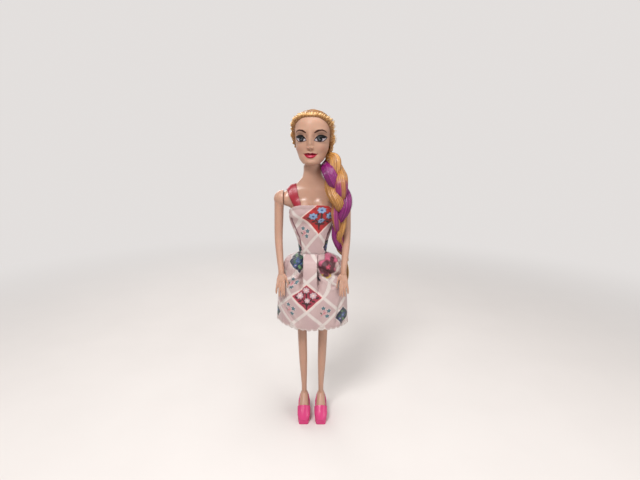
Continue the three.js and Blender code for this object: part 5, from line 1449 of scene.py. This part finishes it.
def daisy(colour, u, v, cu, cv, size, petal, heart, edge="navy", petals=6, turn=0.3):
    """A small round-petalled flower with a thin edge and a heart."""
    for grown_by, name, share in ((1.16, edge, 0.6), (1.0, petal, 1.0)):
        for angle in turn + full_turn(petals):
            place = cu + 0.62 * size * math.cos(angle), cv + 0.62 * size * math.sin(angle)
            leaf = oval(u, v, *place, 0.46 * size * grown_by, 0.34 * size * grown_by, angle)
            colour = lay(colour, share * leaf, name)
    return lay(colour, oval(u, v, cu, cv, 0.3 * size, 0.3 * size, 0), heart)


def stroke(colour, u, v, line, width, name):
    """A printed line through places."""
    return lay(colour, smoothstep(1.3, 0.7, from_line(np.stack([u, v], -1), line) / width), name)


def sprig(colour, u, v, cu, cv, size):
    """Two thin stems that fork, with three small blossoms and a leaf."""
    fork = (cu - 0.1 * size, cv - 0.1 * size)
    for end_u, end_v in ((-0.8, -0.9), (0.9, 0.35), (-0.25, 1.05), (0.55, -0.85)):
        colour = stroke(colour, u, v, [fork, (cu + end_u * size, cv + end_v * size)], 0.24, "stem")
    colour = lay(colour, oval(u, v, cu - 0.75 * size, cv - 0.2 * size, 1.1, 0.55, 2.2), "leaf")
    for place_u, place_v, wide in ((0.95, 0.4, 1.75), (-0.3, 1.1, 1.6), (0.6, -0.95, 1.7)):
        place = cu + place_u * size, cv + place_v * size
        colour = lay(colour, 0.7 * oval(u, v, *place, wide * 1.25, wide * 1.25, 0), "band")
        colour = daisy(colour, u, v, *place, wide, "slate", "heart", petals=5)
    return colour


def night_patch(colour, u, v, cu, cv, size):
    """A dark patch with leaves and dusky blue flowers."""
    colour = lay(colour, diamond(u, v, cu, cv, size * 1.05 + 0.9, size + 0.9), "band")
    patch = diamond(u, v, cu, cv, size * 1.05, size)
    drawn = lay(colour, np.ones(u.shape), "navy")
    for step_u, step_v, long, wide, turn, name in (
        (-0.34, 0.1, 0.36, 0.15, 0.7, "leaf"), (0.1, -0.42, 0.34, 0.13, 2.4, "moss"),
        (0.3, 0.3, 0.3, 0.12, 1.1, "leaf"), (-0.1, 0.5, 0.24, 0.1, 2.8, "moss"),
        (0.44, -0.12, 0.3, 0.12, 0.2, "leaf"),
    ):
        place = cu + step_u * size, cv + step_v * size
        drawn = lay(drawn, oval(u, v, *place, long * size, wide * size, turn), name)
    drawn = daisy(drawn, u, v, cu + 0.06 * size, cv + 0.04 * size, size * 0.34, "dusk", "sky", petals=5)
    place = cu - 0.4 * size, cv - 0.26 * size
    drawn = daisy(drawn, u, v, *place, size * 0.22, "dusk", "mist", petals=5, turn=0.9)
    return colour + patch[..., None] * (drawn - colour)


def rose_patch(colour, u, v, cu, cv, size):
    """A full pink flower with a dark heart over yellow leaves."""
    for step_u, turn in ((-0.25, 2.7), (0.35, 0.5), (0.05, 1.5)):
        place = cu + step_u * size, cv - 1.02 * size
        colour = lay(colour, oval(u, v, *place, 0.42 * size, 0.2 * size, turn), "yellow")
    colour = daisy(colour, u, v, cu, cv, size * 1.05, "rose", "maroon", edge="maroon", petals=7)
    place = cu + 0.04 * size, cv - 0.3 * size
    colour = daisy(colour, u, v, *place, size * 0.86, "maroon", "maroon", edge="maroon")
    return daisy(colour, u, v, cu + 0.1 * size, cv - 0.2 * size, size * 0.26, "berry", "rose", petals=5)


def printed(u, v, grid_at, sprigs, nights, roses):
    """The dress print: pale bands that cross in diamonds, sprigs in the cells, and darker flower patches."""
    colour = np.broadcast_to(np.array(GROUND, float), u.shape + (3,)).copy()
    slow = 0.5 + 0.5 * np.sin(u * 0.23 + 1.3) * np.sin(v * 0.19 + 0.4)
    colour = lay(colour, 0.6 * slow, "ground_shade")
    cu, cv = grid_at
    for slant in (1, -1):
        part = np.abs(np.mod((u - cu) + slant * (v - cv), CELL_WIDTH) - CELL_WIDTH / 2) / math.sqrt(2)
        colour = lay(colour, 0.9 * smoothstep(BAND_HALF_WIDTH + 0.15, BAND_HALF_WIDTH - 0.15, part), "band")
        colour = lay(colour, 0.35 * bell(part - BAND_HALF_WIDTH, 0.16), "ground_shade")
        colour = lay(colour, 0.25 * bell(part - BAND_HALF_WIDTH / 2, 0.12), "ground_shade")
    for place in sprigs:
        colour = sprig(colour, u, v, *place)
    for place in nights:
        colour = night_patch(colour, u, v, *place)
    for place in roses:
        colour = rose_patch(colour, u, v, *place)
    return colour


def flower_diamond(colour, u, v, cu, cv, half_u, half_v, ground, petal, heart):
    """A strong red diamond with a pale edge, a curved stem with leaves, and three daisies."""
    colour = lay(colour, diamond(u, v, cu, cv, half_u + 0.9, half_v + 0.9), "edge")
    inside = diamond(u, v, cu, cv, half_u, half_v)[..., None]
    drawn = lay(colour, np.ones(u.shape), ground)
    drawn = lay(drawn, 0.25 * (0.5 + 0.5 * np.sin(1.1 * u + 0.7 * v)), "maroon")
    for side in (-1, 1):
        arm = [(0, -8.6), (1.4, -4.4), (4.4, -1), (6, 2)]
        arm = [(cu + side * step_u, cv + step_v) for step_u, step_v in arm]
        drawn = stroke(drawn, u, v, arm, 0.5, "twig")
        for step_u, step_v, turn in ((2.6, -5.6, 0.2), (8.8, -0.6, 0.5), (2.9, 3.0, 2.2), (5.6, -3.4, 5.9)):
            leaf_turn = turn if side > 0 else math.pi - turn
            drawn = lay(drawn, oval(u, v, cu + side * step_u, cv + step_v, 1.7, 0.75, leaf_turn), "twig")
    drawn = stroke(drawn, u, v, [(cu, cv - 10.4), (cu, cv - 4), (cu - 0.4, cv + 4.6)], 0.55, "twig")
    for step_u, step_v, wide in ((-5.7, 1.4, 2.8), (5.4, 2.0, 2.8), (-0.4, 6.9, 2.6), (0.4, -2.6, 2.2)):
        drawn = daisy(drawn, u, v, cu + step_u, cv + step_v, wide, petal, heart, petals=7, turn=step_u)
    return colour + inside * (drawn - colour)


weave, ends_in, ends_out = new_group("weave", [
    ("Place", None), ("Threads", 5.0), ("Depth", 0.3),
], "Shade")
apart = node(weave, "ShaderNodeSeparateXYZ", {"Vector": ends_in.outputs["Place"]})
waves = []
for axis in ("X", "Y"):
    turned = maths(weave, "MULTIPLY", apart.outputs[axis], ends_in.outputs["Threads"])
    waves.append(maths(weave, "ABSOLUTE", maths(weave, "SINE", turned)))
crossed = maths(weave, "MAXIMUM", *waves)
shade = node(weave, "ShaderNodeMapRange", {"Value": crossed, "To Min": 0.86, "To Max": 1.04})
bump = node(weave, "ShaderNodeBump", {
    "Strength": ends_in.outputs["Depth"], "Distance": 0.0001, "Height": crossed,
})
weave.links.new(shade.outputs["Result"], ends_out.inputs["Shade"])
weave.links.new(bump.outputs["Normal"], ends_out.inputs["Normal"])


def woven(name, roughness, threads, depth, **sockets):
    """Woven cloth, with its print from the piece's own colours and its threads at their own scale."""
    material, tree, shader = finish_material(name, srgb(*GROUND), roughness, **sockets)
    place = node(tree, "ShaderNodeAttribute", attribute_name="cut")
    ink = node(tree, "ShaderNodeAttribute", attribute_name="print")
    threading = grouped(tree, weave, {"Place": place.outputs["Vector"], "Threads": threads, "Depth": depth})
    shaded(tree, ink.outputs["Color"], threading.outputs["Shade"], shader)
    tree.links.new(threading.outputs["Normal"], shader.inputs["Normal"])
    return material


printed_satin = woven("printed_satin", 0.5, 12.0, 0.4, Sheen_Weight=0.2)
step = np.linalg.norm(np.diff(bodice, axis=1), axis=-1).mean(0)
arc = np.concatenate([[0], np.cumsum(step)])
arc = arc - np.interp(0, u, arc)
cut_u = np.broadcast_to(arc, heights.shape)
cut_v = heights
ink = printed(
    cut_u, cut_v, (6, 198), sprigs=[(-8, 185.5, 3.4), (-30, 192, 3.2), (30, 184, 3.2)],
    nights=[(-20.5, 169, 6.5), (19.5, 172, 6.8), (-33, 172, 7), (34, 200, 6)], roses=[],
)
ink = flower_diamond(ink, cut_u, cut_v, 6.3, 199, 13.2, 14.6, "crimson", "sky", "dusk")
# A dark maroon line is laid along each dart on the front of the bodice.
for dart in DARTS:
    ink = lay(ink, 0.85 * facing * near_line(across_up, dart, DART_DARK_LINE_WIDTH), "maroon")
cut = np.stack([cut_u, cut_v, 0 * cut_v], -1)
piece = cloth("bodice_cloth", bodice, printed_satin, CLOTH_THICKNESS, print=colours(ink), cut=cut)
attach(piece, "torso")
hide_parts("bodice")

# Stitches: a tree lays a short rounded stitch at even steps along each seam line
stitches, given = growing_tree("stitches", [
    ("Spacing", "NodeSocketFloat", 0.002), ("Length", "NodeSocketFloat", 0.0017),
    ("Thickness", "NodeSocketFloat", 0.00025),
])
seams = node(stitches, "GeometryNodeMeshToCurve", {"Mesh": given.outputs["Lines"]})
even = node(stitches, "GeometryNodeResampleCurve", {
    "Curve": seams.outputs[0], "Length": given.outputs["Spacing"],
}, mode="LENGTH")
heading = node(stitches, "GeometryNodeInputTangent")
turned = node(stitches, "FunctionNodeAlignRotationToVector", {"Vector": heading.outputs[0]}, axis="X")
size = node(stitches, "ShaderNodeCombineXYZ", {
    "X": given.outputs["Length"], "Y": given.outputs["Thickness"], "Z": given.outputs["Thickness"],
})
thread = node(stitches, "GeometryNodeMeshUVSphere", {"Segments": 6, "Rings": 5, "Radius": 0.5})
laid = node(stitches, "GeometryNodeInstanceOnPoints", {
    "Points": even.outputs[0], "Instance": thread.outputs["Mesh"], "Rotation": turned.outputs[0],
    "Scale": size.outputs[0],
})
grown_out(stitches, given, laid.outputs[0])
sewing_thread = moulded("sewing_thread", (198, 172, 168), (176, 146, 144), 0.6, blotch_scale=400.0, depth=0.5)
THREAD_THICKNESS, HEM_STITCH_PROUD, EDGE_STITCH_PROUD = 0.26, [1.008, 1.008, 1], [1.006, 1.006, 1]


def sewn(name, lines, spacing=2.2, length=1.7):
    """A row of stitches along each line of places."""
    sizes = {"Spacing": spacing * MM, "Length": length * MM, "Thickness": THREAD_THICKNESS * MM}
    made = grown(name, stitches, lines, {}, sewing_thread, **sizes)
    return made


hem_row = np.argmin(np.abs(top_line - heights - HEM_DEPTH + 0.5), axis=0)
hem_line = bodice[hem_row, np.arange(BODICE_COLUMNS)] * HEM_STITCH_PROUD
edge_lines = [bodice[6:-4, column] * EDGE_STITCH_PROUD for column in (3, -4)]
bodice_stitches = sewn("bodice_stitches", [hem_line[2:-2], *edge_lines])
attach(bodice_stitches, "torso")


# Closure strips: soft loop tape on the left edge and stiff hook tape over it, down the back opening.
# Each is woven tape, stitched to the cloth along its edges.
closure_tape = moulded("closure_tape", (232, 226, 222), (214, 205, 200), 0.85, blotch_scale=900.0, depth=0.9)
TAPE_ROWS, TAPE_COLUMNS = 150, 30
TAPES = [  # gap to the body, thickness, half width, height of the pile
    ("closure_loop_strip", 0.35, 0.85, 3.0, 0.1), ("closure_hook_strip", 1.6, 0.8, 5.0, 0.14),
]
TAPE_STITCH_PROUD, TAPE_MARGIN, ROUNDS = [0, 0.06, 0], 6, 5
PILE_ACROSS, PILE_UP = 9, 7
for name, gap, thick, half_width, pile in TAPES:
    low, high = cad_box(name)
    heights = np.linspace(low[2] + 0.1, high[2] - 0.2, TAPE_ROWS)[:, None] + np.zeros(TAPE_COLUMNS)
    across_tape = np.linspace(half_width, -half_width, TAPE_COLUMNS) + 0 * heights
    behind = 10 + 0 * heights
    for _ in range(ROUNDS):
        reach = on_form(np.arctan2(behind, across_tape), heights) + gap + thick
        behind = np.sqrt(np.maximum(reach**2 - across_tape**2, 1))
    behind = np.pad(behind, ((0, 0), (TAPE_MARGIN, TAPE_MARGIN)), mode="edge")
    behind = blurred(behind, 2, 3)[:, TAPE_MARGIN:-TAPE_MARGIN]
    inner_share = smoothstep(1, 0.86, np.abs(across_tape) / half_width)
    behind = behind + pile * inner_share * np.sin(across_tape * PILE_ACROSS) * np.sin(heights * PILE_UP)
    tape = np.stack([across_tape, behind, heights], -1)
    piece = cloth(name + "_tape", tape, closure_tape, thick)
    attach(piece, "torso")
    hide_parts(name)
    edge_lines = [tape[3:-3, column] + TAPE_STITCH_PROUD for column in (2, -3)]
    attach(sewn(name + "_stitches", edge_lines), "torso")


# Shoulder strap: red satin ribbon over the right shoulder, stitched inside the bodice front and back.
# It is woven with a selvedge on both sides, lies flat on the body and narrows a little towards its feet.
STRAP_HALF_WIDTH, STRAP_FOOT_HALF_WIDTH, STRAP_THICKNESS = 4.3, 3.8, 0.5
STRAP_FOOT_X, STRAP_TOP_X, STRAP_PIVOT_Z = -12.4, -19, SHOULDER[2] - 2
STRAP_FRONT_DEG, STRAP_BACK_DEG = 217, -49
STRAP_ROWS, STRAP_COLUMNS, STRAP_RAY_START = 160, 30, 40
SLACK_BLUR, REACH_BLUR, CROWN_HEIGHT, FOOT_GAP = 9, 4, 0.18, 0.1
bend = np.radians(np.linspace(STRAP_FRONT_DEG, STRAP_BACK_DEG, STRAP_ROWS))[:, None]
upper = 1 - np.abs(np.linspace(-1, 1, STRAP_ROWS)[:, None])
w = np.linspace(-1, 1, STRAP_COLUMNS)
half_width = STRAP_FOOT_HALF_WIDTH + (STRAP_HALF_WIDTH - STRAP_FOOT_HALF_WIDTH) * upper
x = STRAP_FOOT_X + (STRAP_TOP_X - STRAP_FOOT_X) * upper + w * half_width
pivot = np.stack([x, 0 * x, 0 * x + STRAP_PIVOT_Z], -1)
direction = np.stack([0 * x, np.cos(bend) + 0 * x, np.sin(bend) + 0 * x], -1)
skin_tree = solid_tree((trunk_points, trunk_faces))
shares = hits(skin_tree, pivot + STRAP_RAY_START * direction, pivot).reshape(STRAP_ROWS, STRAP_COLUMNS)
close_reach = filled((STRAP_RAY_START * (1 - shares)).T).T
slack = np.maximum(blurred(close_reach, SLACK_BLUR, 0), close_reach)
reach = blurred(slack, REACH_BLUR, 0)
crown = CROWN_HEIGHT * (1 - w**2)
gap = FOOT_GAP + (CLOTH_GAP - FOOT_GAP) * smoothstep(0.06, 0.16, upper)
ribbon = pivot + (reach + gap + STRAP_THICKNESS + crown)[..., None] * direction
red_satin = woven("red_satin", 0.36, 30.0, 0.2, Sheen_Weight=0.06)
STRAP_RED, STRAP_SHADE = np.array([146, 12, 36.0]), np.array([104, 6, 22.0])
selvedge = smoothstep(0.84, 0.93, np.abs(w)) * (1 - 0.4 * smoothstep(0.95, 1, np.abs(w)))
ink = STRAP_RED + (selvedge * (0.6 + 0 * bend))[..., None] * (STRAP_SHADE - STRAP_RED)
cut = np.stack(np.broadcast_arrays(w * STRAP_HALF_WIDTH, bend * 14, 0 * bend), -1)
piece = cloth("strap_ribbon", ribbon, red_satin, STRAP_THICKNESS, print=colours(ink), cut=cut)
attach(piece, "torso")
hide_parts("shoulder_strap")


# Skirt: printed satin gathered into the waist, with a flat box pleat in front and a scalloped hem.
# The hem is overlocked. The cloth is soft, and it is made in a left and a right half.
SKIRT_LENGTH, SKIRT_HALF_WIDTH, SKIRT_HALF_DEPTH, FOLD_DEPTH = 66, 33, 23.5, 3.4
SKIRT_SHARES = [  # how far down, then how much of the way from the waist to its full width and depth
    (0, 0, 0), (0.06, 0.5, 0.5), (0.12, 0.64, 0.67), (0.28, 0.8, 0.82), (0.5, 0.91, 0.93), (0.78, 0.98, 1),
    (1, 1, 1),
]
FOLD_SHARES = [  # place and width as shares of a turn from the left side, depth, and how far down each runs
    (0.585, 0.016, 0.7, 0.5), (0.9, 0.016, 0.8, 0.5), (0.52, 0.018, 0.6, 1.3), (0.96, 0.018, 0.6, 1.2),
    (0.04, 0.018, 0.7, 0.8), (0.12, 0.018, 0.6, 1.5), (0.2, 0.016, 0.9, 0.9), (0.3, 0.016, 0.9, 0.9),
    (0.38, 0.018, 0.6, 1.5), (0.46, 0.018, 0.7, 0.8),
]
PLEAT_MIDDLE, PLEAT_HALF_WIDTH, PLEAT_LENGTH_SHARE = -1.8, 6.6, 0.44
PLEAT_PROUD, UNDERCUT, VALLEY_AWAY, VALLEY_DEPTH, VALLEY_HALF_WIDTH = 1.5, 2.8, 1.9, 5.2, 1.5
SWELLS = [  # soft swells of the front: place across and up, reach each way, height
    (16, 158, 6.5, 5.5, 2.3), (-17, 157, 6, 6, 1.7), (22, 143, 6, 4, 1.2), (-20, 140, 7, 6, 0.9),
    (14, 124, 8, 9, 0.8), (-14, 121, 8, 9, 0.8), (0, 110, 8, 8, 0.5),
]
CREASES = [  # folds pressed into the front: places across and up, depth, half width
    ([(5.6, 157.5), (11, 154), (18, 150), (27, 146.5)], 1.9, 1.3),
    ([(6, 150), (13, 146), (18, 139)], 1.1, 1.2), ([(-9.5, 164), (-13, 157), (-14.5, 149)], 1.8, 1.1),
    ([(-20, 162), (-23, 154), (-25, 147)], 1.5, 1.2),
    ([(-10, 148), (-17, 143), (-25, 141)], 1.1, 1.3), ([(-30, 128), (-24, 116), (-14, 106)], 0.9, 1.6),
    ([(28, 132), (24, 120), (22, 106)], 0.9, 1.5), ([(22, 163), (25, 155), (29, 149)], 1.3, 1.1),
    ([(5, 136), (3, 122), (6, 108)], 0.5, 1.8), ([(-9, 136), (-8, 122), (-12, 108)], 0.5, 1.8),
]
PLEAT_FLATNESS, PLEAT_EDGE, PLEAT_FADE, PLEAT_TOP_RISE = 0.85, (0.7, -0.4), (0.72, 1.25), 0.75
SCALLOPS, SCALLOP_DEPTH, SCALLOPS_FROM, HEM_CURL, CURL_FROM = 36, 1.8, 0.965, 0.35, 0.975
HEM_LIFT, HEM_LIFT_X = 3.2, (-10, -31)
GATHERS, GATHER_DEPTH, GATHER_RUN, FLUTE_DEPTH = 34, 0.55, 0.2, 0.45
SKIRT_COLUMNS, SKIRT_ROWS = 520, 140
FRONT_SPLIT_SHARE, BACK_SPLIT_SHARE = 0.785, 0.25
SKIRT_TOP, WAIST_EASE = 165.8, 1.5
down = (np.linspace(0, 1, SKIRT_ROWS) ** 1.12)[:, None]
waist_row = on_form(full_turn(FORM_COLUMNS), np.full(FORM_COLUMNS, WAIST_Z)) + WAIST_EASE


def skirt_surface(turn_share):
    """Places on the skirt, at shares of a turn from the left side, from the waist down."""
    angle = 2 * np.pi * turn_share
    wide, deep = through(SKIRT_SHARES, down[:, 0]).T[..., None]
    draw = 0
    for place, breadth, depth, run in FOLD_SHARES:
        away = np.abs(turn_share - place) % 1
        away = np.minimum(away, 1 - away)
        draw = draw + FOLD_DEPTH * depth * bell(away, breadth) * np.clip(1 - down / run, 0, None)
    at = np.mod(turn_share, 1) * FORM_COLUMNS
    waist = np.interp(at, np.arange(FORM_COLUMNS), waist_row, period=FORM_COLUMNS)
    gathers = np.sin(2 * np.pi * GATHERS * turn_share + 1.5 * np.sin(2 * np.pi * 3 * turn_share))
    draw = draw - GATHER_DEPTH * gathers * bell(down, GATHER_RUN) * smoothstep(0, 0.04, down)
    flutes = np.sin(2 * np.pi * 9 * turn_share + 0.9) + 0.6 * np.sin(2 * np.pi * 14 * turn_share + 2.2)
    draw = draw + FLUTE_DEPTH * flutes * smoothstep(0.35, 1, down)
    x = waist * np.cos(angle) + wide * ((SKIRT_HALF_WIDTH - draw) * np.cos(angle) - waist * np.cos(angle))
    y = waist * np.sin(angle) + deep * ((SKIRT_HALF_DEPTH - draw) * np.sin(angle) - waist * np.sin(angle))
    z = SKIRT_TOP - down * (SKIRT_LENGTH - SCALLOP_DEPTH) + 0 * angle
    front = smoothstep(0.05, -0.3, np.sin(angle)) + 0 * down
    across_up = np.stack([x, z], -1)
    out = np.zeros_like(x)
    for place_x, place_z, reach_x, reach_z, height in SWELLS:
        out += height * np.exp(-(((x - place_x) / reach_x) ** 2) - ((z - place_z) / reach_z) ** 2)
    for line, depth, half_width in CREASES:
        away = from_line(across_up, line)
        out -= depth * bell(away, half_width)
        out += 0.35 * depth * bell(away - 2.1 * half_width, half_width)
    out = out * front * smoothstep(0.015, 0.07, down)
    x = x + out * np.cos(angle)
    y = y + out * np.sin(angle)
    fade = 1 - smoothstep(*(PLEAT_LENGTH_SHARE * share for share in PLEAT_FADE), down)
    beside = np.abs(x - PLEAT_MIDDLE) - PLEAT_HALF_WIDTH
    side = np.sign(x - PLEAT_MIDDLE)
    within = smoothstep(*PLEAT_EDGE, beside) * front * fade
    column = np.argmin(np.abs(angle - 1.5 * np.pi) + 0 * turn_share)
    level = y[:, column:column + 1] * np.ones_like(y)
    y = y + within * (PLEAT_FLATNESS * (level - y) - PLEAT_PROUD * smoothstep(-0.004, 0.012, down))
    valley = bell(beside - VALLEY_AWAY, VALLEY_HALF_WIDTH) * front * fade * smoothstep(0, 0.03, down)
    x = x - side * UNDERCUT * valley
    y = y + VALLEY_DEPTH * valley * smoothstep(0, 0.12, down) ** 0.5
    z = z + PLEAT_TOP_RISE * within * smoothstep(0.03, 0, down)
    to_front = smoothstep(0.6, -0.2, np.sin(angle))
    z = z + HEM_LIFT * smoothstep(*HEM_LIFT_X, x) * smoothstep(0.3, 1, down) * to_front
    hem = smoothstep(SCALLOPS_FROM, 1, down)
    z = z - SCALLOP_DEPTH * hem * np.abs(np.sin(np.pi * SCALLOPS * turn_share)) ** 0.8
    curl = HEM_CURL * smoothstep(CURL_FROM, 1, down) * np.cos(2 * np.pi * SCALLOPS * turn_share)
    return np.stack([x + curl * np.cos(angle), y + curl * np.sin(angle), z], -1)


turn_share = np.linspace(BACK_SPLIT_SHARE, 1 + BACK_SPLIT_SHARE, SKIRT_COLUMNS + 1)[None]
surface = skirt_surface(turn_share)[::-1]
steps = np.linalg.norm(np.diff(surface, axis=1), axis=-1)
arc = np.concatenate([0 * steps[:, :1], np.cumsum(steps, 1)], 1)
middle = np.argmin(np.abs(turn_share[0] - 0.75))
cut_u = 0.93 * blurred(arc - arc[:, middle:middle + 1], 5, 0)
cut_v = np.broadcast_to(SKIRT_TOP - down[::-1] * SKIRT_LENGTH, cut_u.shape)
ink = printed(cut_u, cut_v, (-4.4, 129.6), sprigs=[
    (-23.5, 141.5, 3.6), (-19.5, 116.5, 3.7), (10.5, 115.5, 3.7), (40, 130, 3.5), (-46, 130, 3.5),
    (60, 142, 3.5), (60, 114, 3.5), (-70, 118, 3.5), (82, 130, 3.5),
], nights=[
    (-18.5, 160, 9), (29, 109, 8.4), (-54, 154, 8), (52, 154, 8), (-38, 108, 6), (-66, 142, 7),
], roses=[(20.5, 158.5, 8.6), (74, 124, 6), (-62, 118, 6)])
# A dark navy stroke and spot are laid below the right swell of the front, beside the box pleat.
ink = stroke(ink, cut_u, cut_v, [(9.6, 151.5), (9.9, 148.6), (11, 146), (12.4, 144.6)], 0.8, "navy")
ink = lay(ink, oval(cut_u, cut_v, 12.6, 145.2, 2.1, 1, 2.3), "navy")
ink = flower_diamond(ink, cut_u, cut_v, -4.4, 129.6, 12.6, 11.8, "berry", "mist", "edge")
OVERLOCK_SHARE, HEM_STITCH_OFFSET = 0.988, 0.06
overlocked = smoothstep(OVERLOCK_SHARE - 0.004, OVERLOCK_SHARE + 0.004, (SKIRT_TOP - cut_v) / SKIRT_LENGTH)
ink = lay(ink, 0.6 * overlocked, "band")
outwards = unit(surface * [1, 1, 0])
split = int(np.argmin(np.abs(turn_share[0] - FRONT_SPLIT_SHARE)))
cut = np.stack([cut_u, cut_v, 0 * cut_u], -1)
for side, own in (("left", slice(split, None)), ("right", slice(None, split + 1))):
    piece = cloth(
        "skirt_" + side + "_half", surface[:, own], printed_satin, CLOTH_THICKNESS,
        print=colours(ink[:, own]), cut=cut[:, own],
    )
    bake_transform(piece)
    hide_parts("skirt")
    hem_lines = [(surface[row] + HEM_STITCH_OFFSET * outwards[row])[own] for row in (3, 6)]
    hem_stitches = sewn("skirt_" + side + "_hem_stitches", hem_lines, spacing=1.5, length=1.15)
    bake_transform(hem_stitches)
